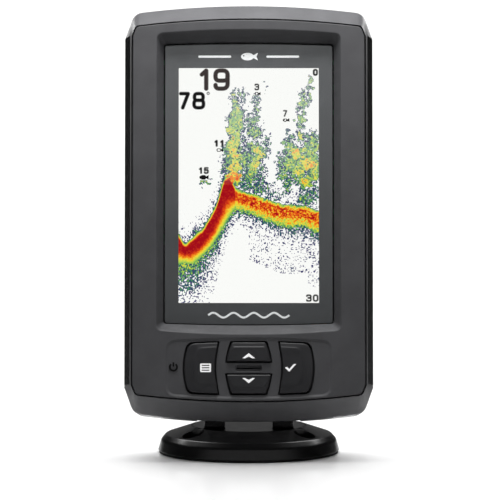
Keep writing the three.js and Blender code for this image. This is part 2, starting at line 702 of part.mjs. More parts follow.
function latchLever() {
  const arm = new THREE.Shape();
  arm.moveTo(20.9, -36);
  arm.lineTo(20.9, -46.2);
  arm.lineTo(14.7, -46.2);
  arm.lineTo(14.7, -47.6);
  arm.lineTo(15.3, -48.2);
  arm.lineTo(22.9, -48.2);
  arm.lineTo(22.9, -36);
  const neck = new THREE.Shape();
  neck.moveTo(21.4, -36);
  neck.lineTo(24.6, -36);
  neck.lineTo(27, -30.4);
  neck.lineTo(24.6, -30.4);
  const pad = softPolygon([[24.6, -31.6, 0.4], [27.2, -31.6, 0.8], [28.4, -20.6, 0.9], [25.8, -20.6, 0.9]]);
  const ribs = [-22.6, -24.8, -27].map((z) => drumAlongX(0.55, -5.6, 5.6, 27.2 - (z + 31.6) * -0.109, z, 8));
  const solid = join(
    drumAlongX(2.2, -5.2, 5.2, LATCH_PIN.depth, LATCH_PIN.z, 18),
    sideSlab(arm, -2.2, 2.2),
    sideSlab(neck, -5.2, 5.2),
    sideSlab(pad, -7.5, 7.5, 4),
    ...ribs,
  );
  return cut(solid, drumAlongX(PIN_HOLE, -10, 10, LATCH_PIN.depth, LATCH_PIN.z, 16));
}

function latchSpring() {
  return wire(new Helix(1.8, 20.95, 24.1, 3.5), 0.35, 30, 2).translate(0, 0, -28.6);
}

// ---------------------------------------------------------------------------------------------
// Stand
// ---------------------------------------------------------------------------------------------

function basePlate() {
  const b = BASE_PROFILE;
  const profile = [
    [19.5, PAD_THICKNESS], [b.radius - 0.1, PAD_THICKNESS], [b.bead, b.beadHeight],
    [34, 6.6], [b.shoulder, b.shoulderHeight], [b.disc + 0.2, b.top], [b.disc + 0.2, DISC_SEAT],
    [SPIGOT_RADIUS + 0.3, DISC_SEAT], [SPIGOT_RADIUS + 0.3, BASE_SHELF], [19.5, BASE_SHELF],
    [19.5, PAD_THICKNESS],
  ];
  return cut(
    turned(profile, 40),
    ...BASE_HOLES.flatMap(([x, y]) => [
      drumAlongZ(2.6, -1, 12, x, y, 12),
      drumAlongZ(4.3, 4.5, 12, x, y, 16),
    ]),
  );
}

function basePad() {
  return cut(
    drumAlongZ(BASE_PROFILE.radius - 0.5, 0, PAD_THICKNESS, 0, 0, 40),
    ...BASE_HOLES.map(([x, y]) => drumAlongZ(2.6, -1, 2, x, y, 12)),
  );
}

function armProfile() {
  const lean = Math.atan((ARM_FOOT - ARM_RADIUS) / TILT_AXIS_HEIGHT);
  const profile = new THREE.Shape();
  profile.moveTo(-ARM_FOOT, BASE_PROFILE.top - 1);
  profile.absarc(0, TILT_AXIS_HEIGHT, ARM_RADIUS, Math.PI - lean, lean, true);
  profile.lineTo(ARM_FOOT, BASE_PROFILE.top - 1);
  return profile;
}

function swivelTurret() {
  const solid = join(
    turned([
      [0, 3.6], [SPIGOT_RADIUS, 3.6], [SPIGOT_RADIUS, DISC_SEAT + GAP], [BASE_PROFILE.disc - 0.1, DISC_SEAT + GAP],
      [BASE_PROFILE.disc - 0.1, 10.5], [BASE_PROFILE.disc - 0.4, BASE_PROFILE.top], [0, BASE_PROFILE.top],
    ], 40),
    sideSlab(armProfile(), ARM_INNER, ARM_OUTER, 18),
    sideSlab(armProfile(), -ARM_OUTER, -ARM_INNER, 18),
  );
  const nutPocket = new THREE.CylinderGeometry(4.9, 4.9, 6, 6).rotateZ(Math.PI / 2);
  return cut(
    solid,
    drumAlongX(BOLT_HOLE, -30, 30, 0, TILT_AXIS_HEIGHT, 24),
    drumAlongX(4.8, -30, -ARM_OUTER + 3.6, 0, TILT_AXIS_HEIGHT, 24),
    nutPocket.translate(ARM_OUTER - 4 + 3, 0, TILT_AXIS_HEIGHT),
    ...RING_SCREW_ANGLES.map((angle) => drumAlongZ(1.15, 3, 7.4, ...onRing(angle), 12)),
  );
}

function onRing(angle) {
  return [RING_SCREW_CIRCLE * Math.cos(angle), RING_SCREW_CIRCLE * Math.sin(angle)];
}

function swivelRing() {
  return cut(
    turned([[0, 1.9], [16.8, 1.9], [17, 2.1], [17, 3.45], [0, 3.45]], 24),
    ...RING_SCREW_ANGLES.map((angle) => ringScrewBody(0.15).translate(...onRing(angle), 0)),
  );
}

function ringScrewBody(slack = 0) {
  const head = 2.1 + slack;
  const shank = 0.95 + slack;
  return turned([[0, 1.9 - slack], [head, 1.9 - slack], [head, 2.1], [shank, 3.2 + slack], [shank, 7], [0, 7]], 10);
}

function ringScrew() {
  return cut(ringScrewBody(), block(-1.5, 1.5, -0.25, 0.25, 1, 2.5));
}

// A spring washer whose height rises and falls three times round its circle.
function waveWasher() {
  const steps = 36;
  const [inner, outer, thickness] = [12.6, 16.6, 0.35];
  const positions = [];
  const index = [];
  for (let i = 0; i < steps; i += 1) {
    const angle = (i / steps) * Math.PI * 2;
    const middle = 4.33 + 0.45 * Math.cos(3 * angle);
    const corners = [
      [inner, middle - thickness / 2], [outer, middle - thickness / 2],
      [outer, middle + thickness / 2], [inner, middle + thickness / 2],
    ];
    corners.forEach(([r, z]) => positions.push(r * Math.cos(angle), r * Math.sin(angle), z));
    for (let side = 0; side < 4; side += 1) {
      const a = i * 4 + side;
      const b = i * 4 + (side + 1) % 4;
      const c = ((i + 1) % steps) * 4 + side;
      const d = ((i + 1) % steps) * 4 + (side + 1) % 4;
      index.push(a, c, b, b, c, d);
    }
  }
  const geometry = new THREE.BufferGeometry();
  geometry.setAttribute('position', new THREE.Float32BufferAttribute(positions, 3));
  geometry.setIndex(index);
  return geometry;
}

function tiltBolt() {
  const head = drumAlongX(4.3, -ARM_OUTER + 0.4, -ARM_OUTER + 3.4, 0, 0, 24);
  const shank = drumAlongX(BOLT_RADIUS, -ARM_OUTER + 2, ARM_OUTER - 0.6, 0, 0, 24);
  const socket = new THREE.CylinderGeometry(2.3, 2.3, 4, 6).rotateZ(Math.PI / 2).translate(-ARM_OUTER + 0.2, 0, 0);
  return cut(join(head, shank), socket);
}

function tiltNut() {
  const hexagon = new THREE.CylinderGeometry(4.6, 4.6, 3.2, 6).rotateZ(Math.PI / 2);
  return cut(hexagon.translate(ARM_OUTER - 2.2, 0, 0), drumAlongX(BOLT_HOLE, 0, 30, 0, 0, 24));
}

function tiltWasher(side) {
  const ring = turnedRing(BOLT_HOLE + 0.1, 7.4, 0.12, 0.78, 28);
  return ring.rotateY(side * Math.PI / 2).translate(side * BARREL_HALF_WIDTH, 0, 0);
}

// ---------------------------------------------------------------------------------------------
// Assembly
// ---------------------------------------------------------------------------------------------

const fishFinder = new THREE.Group();
const headPivot = new THREE.Group();
headPivot.position.set(0, 0, TILT_AXIS_HEIGHT);
headPivot.rotation.x = -HEAD_LEAN;
const head = new THREE.Group();
head.position.set(0, -TILT_AXIS_DEPTH, TILT_AXIS_DROP);
headPivot.add(head);
fishFinder.add(headPivot);

piece(head, 'front_bezel', 'satinGrey', frontBezel());
piece(head, 'rear_housing', 'satinGrey', rearHousing());
piece(head, 'side_grip_right', 'glossBlack', sideGrip());
piece(head, 'side_grip_left', 'glossBlack', mirrored(sideGrip()));
piece(head, 'housing_gasket', 'rubber', cut(
  prism(outline(BEZEL_OUTLINE, SEAM + 0.2), SKIRT_DEPTH + GAP, SEAL_LEDGE - GAP),
  prism(outline(BEZEL_OUTLINE, SEAM + 1.7), SKIRT_DEPTH - 1, SEAL_LEDGE + 1),
));
screwPlaces().forEach(([x, z], i) => {
  piece(head, `case_screw_${i + 1}`, 'steel', caseScrew(), [x, SCREW_SEAT + GAP, z]);
});

piece(head, 'display_lens', 'lens', displayLens());
piece(head, 'lens_mask', 'film', frameAroundPicture(0.3, LENS_BACK + 0.05, LENS_BACK + 0.05 + MASK_THICKNESS, 0));
piece(head, 'lens_gasket', 'rubber', frameAroundPicture(
  0.3, LENS_BACK + MASK_THICKNESS + 2 * GAP, LENS_BACK + MASK_THICKNESS + 2 * GAP + SEAL_THICKNESS, 3.4));
piece(head, 'lcd_frame', 'steel', lcdFrame());
piece(head, 'lcd_panel', 'picture', pictureBlock(1.9, LCD_FRONT + 0.5, LCD_FRONT + 1.7));
piece(head, 'backlight', 'diffuser', pictureBlock(1.9, LCD_FRONT + 1.9, LCD_BACK - 0.55));
piece(head, 'lcd_ribbon', 'flex',
  strip([[11.45, 31], [11.6, 40], [12.5, 46], [13.5, 43], [13.75, 34]], 0.2, -8, 8));

piece(head, 'main_board', 'circuit', mainBoard());
piece(head, 'shield_can', 'steel', shieldCan());
piece(head, 'buzzer', 'cable', buzzer(), [-24, BOARD_BACK + GAP, 42]);
piece(head, 'keypad_board', 'circuit', keypadBoard());
piece(head, 'keypad_membrane', 'rubber', keypadMembrane());
piece(head, 'board_ribbon', 'flex',
  strip([[10.45, -57], [12.3, -50], [12.8, -30], [13.7, -14], [13.75, -7]], 0.2, 24.5, 31));
KEYS.forEach((key) => {
  piece(head, key.name, 'darkKey', keyCap(key));
  piece(head, `${key.name}_switch`, 'steel', tactSwitch(), [key.x, KEYPAD_BOARD_FRONT - GAP, key.z]);
});

piece(head, 'power_socket', 'cable', panelSocket(2), [-SOCKET_X, 0, SOCKET_Z]);
piece(head, 'transducer_socket', 'cable', panelSocket(5), [SOCKET_X, 0, SOCKET_Z]);
piece(head, 'power_socket_nut', 'brass', socketNut(), [-SOCKET_X, 0, SOCKET_Z]);
piece(head, 'transducer_socket_nut', 'brass', socketNut(), [SOCKET_X, 0, SOCKET_Z]);
piece(head, 'power_lead', 'cable', lead(-1));
piece(head, 'transducer_lead', 'cable', lead(1));

piece(head, 'docking_rail', 'moulded', dockingRail());
RAIL_SCREWS.forEach((z, i) => {
  piece(head, `rail_screw_${i + 1}`, 'steel', railScrew(), [0, RAIL_FLOOR - GAP, z]);
});
piece(head, 'cradle', 'moulded', cradle());
piece(head, 'latch_pin', 'steel', drumAlongX(1, -8.2, 8.2, LATCH_PIN.depth, LATCH_PIN.z, 16));
piece(head, 'latch_lever', 'glossBlack', latchLever());
piece(head, 'latch_spring', 'steel', latchSpring());

piece(fishFinder, 'swivel_turret', 'glossBlack', swivelTurret());
piece(fishFinder, 'tilt_bolt', 'steel', tiltBolt(), [0, 0, TILT_AXIS_HEIGHT]);
piece(fishFinder, 'tilt_nut', 'steel', tiltNut(), [0, 0, TILT_AXIS_HEIGHT]);
piece(fishFinder, 'tilt_washer_left', 'rubber', tiltWasher(-1), [0, 0, TILT_AXIS_HEIGHT]);
piece(fishFinder, 'tilt_washer_right', 'rubber', tiltWasher(1), [0, 0, TILT_AXIS_HEIGHT]);
piece(fishFinder, 'swivel_ring', 'steel', swivelRing());
RING_SCREW_ANGLES.forEach((angle, i) => {
  piece(fishFinder, `ring_screw_${i + 1}`, 'steel', ringScrew(), [...onRing(angle), 0]);
});
piece(fishFinder, 'wave_washer', 'steel', waveWasher());
piece(fishFinder, 'base_plate', 'glossBlack', basePlate());
piece(fishFinder, 'base_pad', 'rubber', basePad());

export default fishFinder;
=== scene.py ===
import json
from collections import namedtuple
from math import atan, cos, hypot, pi, radians, sin

import bmesh
import bpy
import numpy as np
from mathutils import Matrix, Vector
from mathutils.geometry import tessellate_polygon


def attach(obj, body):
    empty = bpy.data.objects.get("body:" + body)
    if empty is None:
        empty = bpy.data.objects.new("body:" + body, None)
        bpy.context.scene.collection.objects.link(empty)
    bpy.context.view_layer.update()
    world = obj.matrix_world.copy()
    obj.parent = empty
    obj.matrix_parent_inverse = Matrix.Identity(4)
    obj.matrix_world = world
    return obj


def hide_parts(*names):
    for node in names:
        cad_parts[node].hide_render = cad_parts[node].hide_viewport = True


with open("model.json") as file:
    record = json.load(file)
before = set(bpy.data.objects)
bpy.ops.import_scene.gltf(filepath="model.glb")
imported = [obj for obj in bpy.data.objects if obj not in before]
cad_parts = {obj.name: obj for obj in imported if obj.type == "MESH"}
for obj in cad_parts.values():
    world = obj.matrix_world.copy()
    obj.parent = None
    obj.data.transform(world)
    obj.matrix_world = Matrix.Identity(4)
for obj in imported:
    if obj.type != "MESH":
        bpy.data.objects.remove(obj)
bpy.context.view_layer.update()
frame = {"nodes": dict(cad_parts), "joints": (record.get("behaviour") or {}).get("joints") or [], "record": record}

MM = 0.001

# Sizes, in millimetres. In the head's own axes x is right, y goes into the case and z is up.

# An outline from its middle: its side's x, the z where its chamfer starts, the x and z where that ends,
# the z of the crown's top, and how far the corner is eased.
Form = namedtuple("Form", "half shoulder x z crown corner")
CASE_OUTLINE = Form(49.15, 69.5, 45.4, 80, 83.03, 3.2)
BEZEL_OUTLINE = Form(46.1, 69.3, 44.6, 73.3, 76.1, 1.4)
RECESS_OUTLINE = Form(36.4, 30, 36.4, 59.1, 60.7, 2.6)
LENS_OUTLINE = Form(33.7, 30, 33.7, 55.9, 56.6, 1.2)
DISH_OUTLINE = Form(33, 5, 33, 11.1, 12.3, 4.2)
RECESS_MIDDLE = 11.25

CASE_DEPTH = 36
FAR = 60  # Past the outside of the case.
WIDEST_DEPTH = 9.1
RIM_FRONT = 0.5
BACK_RADIUS = 10
SIDE_DRAFT = 1.2
WALL = 2.2
SEAM = 0.25
GAP = 0.15
AXIS = 0.01  # The radius at which a turned part closes on its axis.

PLATE = 2.4
SKIRT_DEPTH = 8
SEAL_LEDGE = 9.5
LENS_FRONT = 5.5
LENS_BACK = 6.9
LENS_GAP = 0.35
MASK_FRONT = 6.95
DISH_DEPTH = 0.4
DISH_SLOPE = 1.2

KEY_GAP = 0.25
CAP_GAP = 0.42
KEY_TOP = -52.4
KEY_BOTTOM = -73.3
KEY_MIDDLE = (KEY_TOP + KEY_BOTTOM) / 2
ROCKER_HEIGHT = 8.15
KEY_FACE = -0.75
KEY_RIM = 0.25
DIMPLE_HALF_WIDTH = 5.1
DIMPLE_HALF_HEIGHT = 1.15
DIMPLE_DEPTH = 1.25

BAY_HALF_WIDTH = 20.5
BAY_TOP = -17
BAY_FLOOR = 14
BAY_WALL = 2.4
SCREW_X = 40.6
SCREW_ROWS = (66, 2, -66)
SCREW_SEAT = 20
BOSS_RADIUS = 4.3
SCREW_HEAD_HOLE = 3
SCREW_SHANK_HOLE = 1.7
SOCKET_HOLE = 6.6
SOCKET_X = 16
SOCKET_Z = 5
SOCKET_DECK = 33
GRIP_BOTTOM = -69
GRIP_TOP = 69.8
GRIP_BACK = 24

BASE_RADIUS = 36.1
DISC_RADIUS = 22.6
DISC_TOP = 10.8
DISC_SEAT = 8.1
SPIGOT_RADIUS = 12
PAD_THICKNESS = 1
ARM_INNER = 9.5
ARM_OUTER = 17.6
ARM_RADIUS = 10.5
ARM_FOOT = 12.8
BOLT_HOLE = 2.65
BASE_HOLES = ((-22, -16.5), (22, -16.5), (-22, 16.5), (22, 16.5))

# The screen's strength to the camera, and as light on what is round it.
SCREEN_GLOW = 1.02
SCREEN_CAST = 0.12
PICTURE_COLOURS = "picture"

# The world's strength as light, by direction.
WORLD_TOP = 0.1
WORLD_BACK = 0.17
WORLD_FRONT = 0.05
WORLD_SIDE = 0.01

# The camera: what it aims at in millimetres, how far off it is in metres and how far above the level.
CAMERA_AIM = Vector((0.5, 0, 80.6))
CAMERA_DISTANCE = 2.4
CAMERA_LIFT = radians(5.5)


def joint(name):
    return next(j for j in frame["joints"] if j["name"] == name)


def extent(points):
    """The lowest and the highest corner of some points."""
    return Vector(map(min, zip(*points))), Vector(map(max, zip(*points)))


def head_place():
    """From the head's own axes, in millimetres from the middle of the bezel's face, to the row frame."""
    right = Vector((1, 0, 0))
    into = Vector(joint("menu_key_press")["axis"]).normalized()
    turn = Matrix((right, into, right.cross(into))).transposed()
    low, high = extent([turn.transposed() @ v.co for v in frame["nodes"]["front_bezel"].data.vertices])
    origin = turn @ Vector(((low.x + high.x) / 2, low.y, (low.z + high.z) / 2))
    return Matrix.Translation(origin) @ turn.to_4x4() @ Matrix.Scale(MM, 4)


HEAD = head_place()
STAND = Matrix.Scale(MM, 4)
TILT_HEIGHT = joint("tilt")["pos_m"][2] / MM


def head_points(node):
    """The corners of a CAD node in the head's own axes."""
    back = HEAD.inverted()
    return [back @ v.co for v in frame["nodes"][node].data.vertices]


# Outlines: lists of (x, z)

def quadratic(a, b, c, steps):
    """Points of a curve from a to c that is pulled towards b."""
    made = []
    for step in range(steps + 1):
        t = step / steps
        made.append(tuple((1 - t) ** 2 * p + 2 * t * (1 - t) * q + t * t * r for p, q, r in zip(a, b, c)))
    return made


def outline(form, inset, middle=0.0):
    """Straight sides, a chamfer from the shoulder to an eased corner, and a crowned top and bottom."""
    corner_steps, crown_steps = 8, 14
    slope = (form.half - form.x) / (form.z - form.shoulder)
    stretch = hypot(1, slope)
    crown = (form.crown - form.z) / form.x ** 2
    shoulder = form.shoulder + (inset * (1 - stretch) / slope if slope > 0 else 0)
    x, z = form.x - inset, form.z
    for _ in range(6):
        z = form.crown - inset - crown * x ** 2
        x = form.half - slope * (z - form.shoulder) - inset * stretch
    reach = max(form.corner - inset * 0.35, 0.3)
    side = form.half - inset
    down = Vector((side - x, shoulder - z)).normalized() * reach
    start = x - reach
    top = (start, form.crown - inset - crown * start ** 2)
    ease = quadratic((x + down.x, z + down.y), (x, z), top, corner_steps)
    quarter = [(side, shoulder), *ease]
    for step in range(1, crown_steps + 1):
        across = start * (1 - step / crown_steps)
        quarter.append((across, form.crown - inset - crown * across ** 2))
    upper = quarter + [(-a, b) for a, b in reversed(quarter[:-1])]
    lower = [(-a, -b) for a, b in upper]
    return [(a, b + middle) for a, b in upper + lower]


def soft_polygon(corners, steps=6):
    """Corners are (x, z, reach): each is eased by a curve that starts `reach` away from it."""
    made = []
    for i, (x, z, reach) in enumerate(corners):
        here = Vector((x, z))
        before = Vector(corners[i - 1][:2]) - here
        after = Vector(corners[(i + 1) % len(corners)][:2]) - here
        start, end = here + before.normalized() * reach, here + after.normalized() * reach
        made += quadratic(start, here, end, steps)
    return made


def soft_rectangle(left, right, bottom, top, reach, steps=6):
    corners = [(left, bottom), (right, bottom), (right, top), (left, top)]
    return soft_polygon([(x, z, reach) for x, z in corners], steps)


def circle(radius, x=0.0, z=0.0, steps=48):
    turns = [2 * pi * i / steps for i in range(steps)]
    return [(x + radius * cos(a), z + radius * sin(a)) for a in turns]


def between(a, b, share):
    return [(p[0] + (q[0] - p[0]) * share, p[1] + (q[1] - p[1]) * share) for p, q in zip(a, b)]


def at_depth(points, depth):
    return [(x, depth, z) for x, z in points]


def rounding(radius, steps):
    """A quarter round from a face to a side, as (distance in from the side, distance down from the face)."""
    turns = [pi / 2 * i / steps for i in range(steps + 1)]
    return [(radius * (1 - sin(a)), radius * (1 - cos(a))) for a in turns]


def eased(first, corner, last, steps=5):
    """Rings that pass from one ring to another round the corner ring between them."""
    columns = [quadratic(a, b, c, steps) for a, b, c in zip(first, corner, last)]
    return [list(ring) for ring in zip(*columns)]


# Meshes

class Skin:
    """A mesh grown from closed rings of points."""

    def __init__(self):
        self.points = []
        self.faces = []

    def ring(self, points):
        start = len(self.points)
        self.points.extend(points)
        return list(range(start, len(self.points)))

    def bridge(self, lower, upper):
        count = len(lower)
        for i in range(count):
            j = (i + 1) % count
            self.faces.append((lower[i], upper[i], upper[j], lower[j]))

    def stack(self, rings):
        made = [self.ring(points) for points in rings]
        for lower, upper in zip(made, made[1:]):
            self.bridge(lower, upper)
        return made

    def fill(self, outer, holes=()):
        loops = [outer, *holes]
        index = [i for loop in loops for i in loop]
        flat = [[Vector(self.points[i]) for i in loop] for loop in loops]
        self.faces.extend(tuple(index[i] for i in face) for face in tessellate_polygon(flat))

    def cap(self, ring):
        self.faces.append(tuple(ring))

    def raw(self):
        made = bpy.data.meshes.new("shape")
        made.from_pydata([tuple(p) for p in self.points], [], self.faces)
        return made

    def mesh(self):
        """The mesh with doubled points merged and its faces turned outwards."""
        made = self.raw()
        work = bmesh.new()
        work.from_mesh(made)
        bmesh.ops.remove_doubles(work, verts=work.verts, dist=1e-5)
        bmesh.ops.recalc_face_normals(work, faces=work.faces)
        work.to_mesh(made)
        work.free()
        return made


def sheet(shapes, front, thickness):
    """Flat shapes, `thickness` thick, behind `front`. Each shape is (outline, holes)."""
    skin = Skin()
    for outer, holes in shapes:
        loops = []
        for loop in (outer, *holes):
            loops.append(skin.stack([at_depth(loop, front), at_depth(loop, front + thickness)]))
        for end in (0, 1):
            skin.fill(loops[0][end], [loop[end] for loop in loops[1:]])
    return skin.mesh()


def loft(rings):
    skin = Skin()
    made = skin.stack(rings)
    skin.cap(made[0])
    skin.cap(made[-1])
    return skin.mesh()


def prism(points, front, back):
    return loft([at_depth(points, front), at_depth(points, back)])


def post(radius, front, back, x, z):
    return prism(circle(radius, x, z, 40), front, back)


def turned(profile, steps=96, closed=False):
    """A part turned round +Z from (radius, height) pairs. They end on the axis, or close on themselves."""
    skin = Skin()
    made = skin.stack([[(x, y, height) for x, y in circle(radius, steps=steps)] for radius, height in profile])
    if closed:
        skin.bridge(made[-1], made[0])
    else:
        skin.cap(made[0])
        skin.cap(made[-1])
    return skin.mesh()


def rod(radius, low, high, steps=48):
    return turned([(AXIS, low), (radius, low), (radius, high), (AXIS, high)], steps)


def block(x0, x1, y0, y1, z0, z1):
    return loft([at_depth([(x0, z0), (x1, z0), (x1, z1), (x0, z1)], y) for y in (y0, y1)])


def freeze(obj):
    """The object's mesh with its modifiers applied. The object is removed."""
    bpy.context.view_layer.update()
    mesh = bpy.data.meshes.new_from_object(obj.evaluated_get(bpy.context.evaluated_depsgraph_get()))
    bpy.data.objects.remove(obj)
    return mesh


def placed(name, data):
    made = bpy.data.objects.new(name, data)
    bpy.context.scene.collection.objects.link(made)
    return made


def aim(obj, place, along):
    """Puts a lamp or camera at a place, looking along a direction."""
    obj.location = place
    obj.rotation_mode = "QUATERNION"
    obj.rotation_quaternion = along.to_track_quat("-Z", "Y")


def combine(mesh, operation, others):
    for other in others:
        target = placed("work", mesh)
        tool = placed("work", other)
        modifier = target.modifiers.new("combine", "BOOLEAN")
        modifier.operation = operation
        modifier.solver = "EXACT"
        modifier.object = tool
        mesh = freeze(target)
        bpy.data.objects.remove(tool)
    return mesh


def cut(mesh, *tools):
    return combine(mesh, "DIFFERENCE", tools)


def join(mesh, *others):
    return combine(mesh, "UNION", others)


def common(mesh, other):
    return combine(mesh, "INTERSECT", [other])


def tidy(mesh, angle=0.3):
    """Merges flat neighbouring faces, so that a bevel runs cleanly along the edges that are left."""
    work = bmesh.new()
    work.from_mesh(mesh)
    bmesh.ops.remove_doubles(work, verts=work.verts, dist=0.01)
    bmesh.ops.dissolve_degenerate(work, edges=work.edges, dist=0.005)
    bmesh.ops.dissolve_limit(work, angle_limit=radians(angle), verts=work.verts, edges=work.edges)
    work.to_mesh(mesh)
    work.free()
    return mesh


def shade(obj, sharp):
    for face in obj.data.polygons:
        face.use_smooth = True
    obj.data.set_sharp_from_angle(angle=radians(sharp))
    normals = obj.modifiers.new("normals", "WEIGHTED_NORMAL")
    normals.keep_sharp = True
    normals.weight = 80


def bevel_edges(obj, width, segments, angle):
    edge = obj.modifiers.new("edges", "BEVEL")
    edge.width = width * MM
    edge.segments = segments
    edge.limit_method = "ANGLE"
    edge.angle_limit = radians(angle)
    return edge


def part(name, mesh, body, slot, stands_for=(), bevel=0.0, sharp=40, look=None, segments=3):
    """Puts a mesh into the scene as a piece that rides on a body, which says whose millimetres it is in."""
    mesh.transform(STAND if body in ("base", "turret") else HEAD)
    mesh.name = name
    made = placed(name, mesh)
    mesh.materials.clear()
    mesh.materials.append(LOOKS[look or slot])
    for face in mesh.polygons:
        face.material_index = 0
    if bevel:
        edge = bevel_edges(made, bevel, segments, sharp)
        edge.use_clamp_overlap = True
        edge.miter_outer = "MITER_ARC"
    shade(made, sharp)
    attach(made, body)
    if stands_for:
        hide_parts(*stands_for)


# Materials

def linear(colour):
    """A display colour, 0 to 255, as the light it stands for."""
    values = np.asarray(colour, float) / 255
    return np.where(values <= 0.04045, values / 12.92, ((values + 0.055) / 1.055) ** 2.4)


class Shader:
    """Shading that is wired up a node at a time, for a material or for the world."""

    def __init__(self, name, owners=bpy.data.materials, output="OutputMaterial", axes="Object"):
        self.owner = owners.new(name)
        self.owner.use_nodes = True
        self.tree = self.owner.node_tree
        self.tree.nodes.clear()
        self.output = self.node(output)
        self.position = self.node("TexCoord").outputs[axes]

    def node(self, kind, inputs=None, **settings):
        made = self.tree.nodes.new("ShaderNode" + kind)
        for key, value in settings.items():
            setattr(made, key, value)
        for key, value in (inputs or {}).items():
            self.set(made.inputs[key], value)
        return made

    def set(self, socket, value):
        if isinstance(value, bpy.types.NodeSocket):
            self.tree.links.new(value, socket)
        else:
            socket.default_value = value

    def noise(self, size, detail=2.0, vector=None, roughness=0.5):
        """Smooth noise whose hills are about `size` millimetres across."""
        made = self.node("TexNoise", {"Vector": vector or self.position, "Scale": 1 / (size * MM),
                                      "Detail": detail, "Roughness": roughness})
        return made.outputs["Fac"]

    def spread(self, value, low, high, start=0.3, end=0.7, kind="LINEAR"):
        """Takes values from start to end to values from low to high."""
        made = self.node("MapRange", {"Value": value, "From Min": start, "From Max": end,
                                      "To Min": low, "To Max": high}, interpolation_type=kind)
        return made.outputs["Result"]

    def math(self, operation, *values):
        return self.node("Math", dict(enumerate(values)), operation=operation).outputs["Value"]

    def blend(self, share, first, second, kind="MIX"):
        made = self.node("Mix", data_type="RGBA", blend_type=kind)
        for key, value in (("Factor", share), ("A", first), ("B", second)):
            self.set(made.inputs[key], value)
        return made.outputs["Result"]

    def bump(self, height, distance, normal=None):
        inputs = {"Height": height, "Distance": distance * MM, "Strength": 1.0}
        if normal is not None:
            inputs["Normal"] = normal
        return self.node("Bump", inputs).outputs["Normal"]

    def seen(self):
        """1 for what the camera sees, 0 for what it lights."""
        return self.node("LightPath").outputs["Is Camera Ray"]

    def surface(self, shader):
        self.set(self.output.inputs["Surface"], shader.outputs[0])
        return self.owner

    def solid(self, tone, rough, normal, more=()):
        inputs = {"Base Color": tone, "Roughness": rough, "Normal": normal, **dict(more)}
        return self.surface(self.node("BsdfPrincipled", inputs))


def rgba(colour):
    return (*[float(c) for c in linear(colour)], 1.0)


def moulded(name, colour, rough, grain, grain_depth, sheen_spread=0.06, specular=0.5, shift=0.12, wave=0.03):
    """Moulded plastic: a fine spark-eroded grain, faint clouds of tone and an uneven sheen."""
    s = Shader(name)
    base = np.asarray(colour, float)
    clouds = s.spread(s.noise(9, 3), 0, 1)
    fleck = s.spread(s.noise(grain * 0.8, 1), 0, 1)
    tone = s.blend(clouds, rgba(base * (1 - shift / 2)), rgba(base * (1 + shift / 2)))
    tone = s.blend(s.spread(fleck, 0, 0.35, 0, 1), tone, rgba(base * (1 + shift)))
    normal = s.bump(s.noise(grain, 2, roughness=0.6), grain_depth, s.bump(s.noise(14, 1), wave))
    sheen = s.spread(s.noise(5, 2), rough - sheen_spread, rough + sheen_spread)
    return s.solid(tone, sheen, normal, {"Specular IOR Level": specular})


def metal(name, colour, rough, streak):
    """Drawn or turned metal: fine streaks in the sheen and small shifts of tone."""
    s = Shader(name)
    base = np.asarray(colour, float)
    along = s.node("Mapping", {"Vector": s.position, "Scale": (1, streak, 1)}).outputs["Vector"]
    streaks = s.noise(0.5, 3, vector=along)
    tone = s.blend(s.spread(streaks, 0, 1), rgba(base * 0.9), rgba(base))
    sheen = s.spread(streaks, rough - 0.08, rough + 0.1)
    return s.solid(tone, sheen, s.bump(streaks, 0.01), {"Metallic": 1.0})


def circuit_board(name):
    """Solder mask over copper runs."""
    s = Shader(name)
    runs = s.node("TexBrick", {
        "Vector": s.position, "Scale": 1 / (9 * MM), "Mortar Size": 0.03, "Mortar Smooth": 0.2,
        "Color1": (0, 0, 0, 1), "Color2": (0, 0, 0, 1), "Mortar": (1, 1, 1, 1),
    }, offset=0.37, squash=0.6).outputs["Color"]
    tone = s.blend(runs, rgba((22, 78, 48)), rgba((44, 122, 76)))
    return s.solid(tone, s.spread(s.noise(3), 0.3, 0.45), s.bump(runs, 0.03))


def ribbon(name):
    """Amber film with fine copper lines along it."""
    s = Shader(name)
    lines = s.node("TexWave", {"Vector": s.position, "Scale": 1 / (2.4 * MM), "Distortion": 0.0},
                   bands_direction="X").outputs["Fac"]
    tone = s.blend(s.spread(lines, 0, 1, 0.4, 0.6), rgba((150, 84, 20)), rgba((206, 132, 48)))
    return s.solid(tone, s.spread(s.noise(2), 0.25, 0.4), s.bump(lines, 0.01))


def clear_lens(name):
    """Hard-coated window: mostly clear, with a faint uneven reflection."""
    s = Shader(name)
    facing = s.node("LayerWeight", {"Blend": 0.12}).outputs["Fresnel"]
    gloss = s.node("BsdfGlossy", {"Roughness": s.spread(s.noise(6), 0.1, 0.16), "Color": (1, 1, 1, 1)})
    clear = s.node("BsdfTransparent", {"Color": (0.985, 0.99, 0.99, 1)})
    share = s.math("MULTIPLY", facing, 0.55)
    return s.surface(s.node("MixShader", {"Fac": share, 1: clear.outputs[0], 2: gloss.outputs[0]}))


def lit_picture(name):
    """Backlit liquid crystal: the picture's colours through a faint screen of dots."""
    s = Shader(name)
    colours = s.node("Attribute", attribute_name=PICTURE_COLOURS).outputs["Color"]
    tone = s.blend(1.0, colours, s.spread(s.noise(0.3, 0), 0.97, 1.0), "MULTIPLY")
    strength = s.spread(s.seen(), SCREEN_CAST, SCREEN_GLOW, 0, 1)
    return s.surface(s.node("Emission", {"Color": tone, "Strength": strength}))


def ink(name, colour, specular=0.4):
    s = Shader(name)
    base = np.asarray(colour, float)
    tone = s.blend(s.spread(s.noise(0.6), 0, 1), rgba(base * 0.97), rgba(base))
    # The ink also glows faintly in its own tone. This is a painted glow that keeps the print bright where little
    # lamp light reaches it.
    return s.solid(tone, s.spread(s.noise(0.4), 0.4, 0.5), s.bump(s.noise(0.25), 0.005), {
        "Specular IOR Level": specular, "Emission Color": tone, "Emission Strength": 0.15})


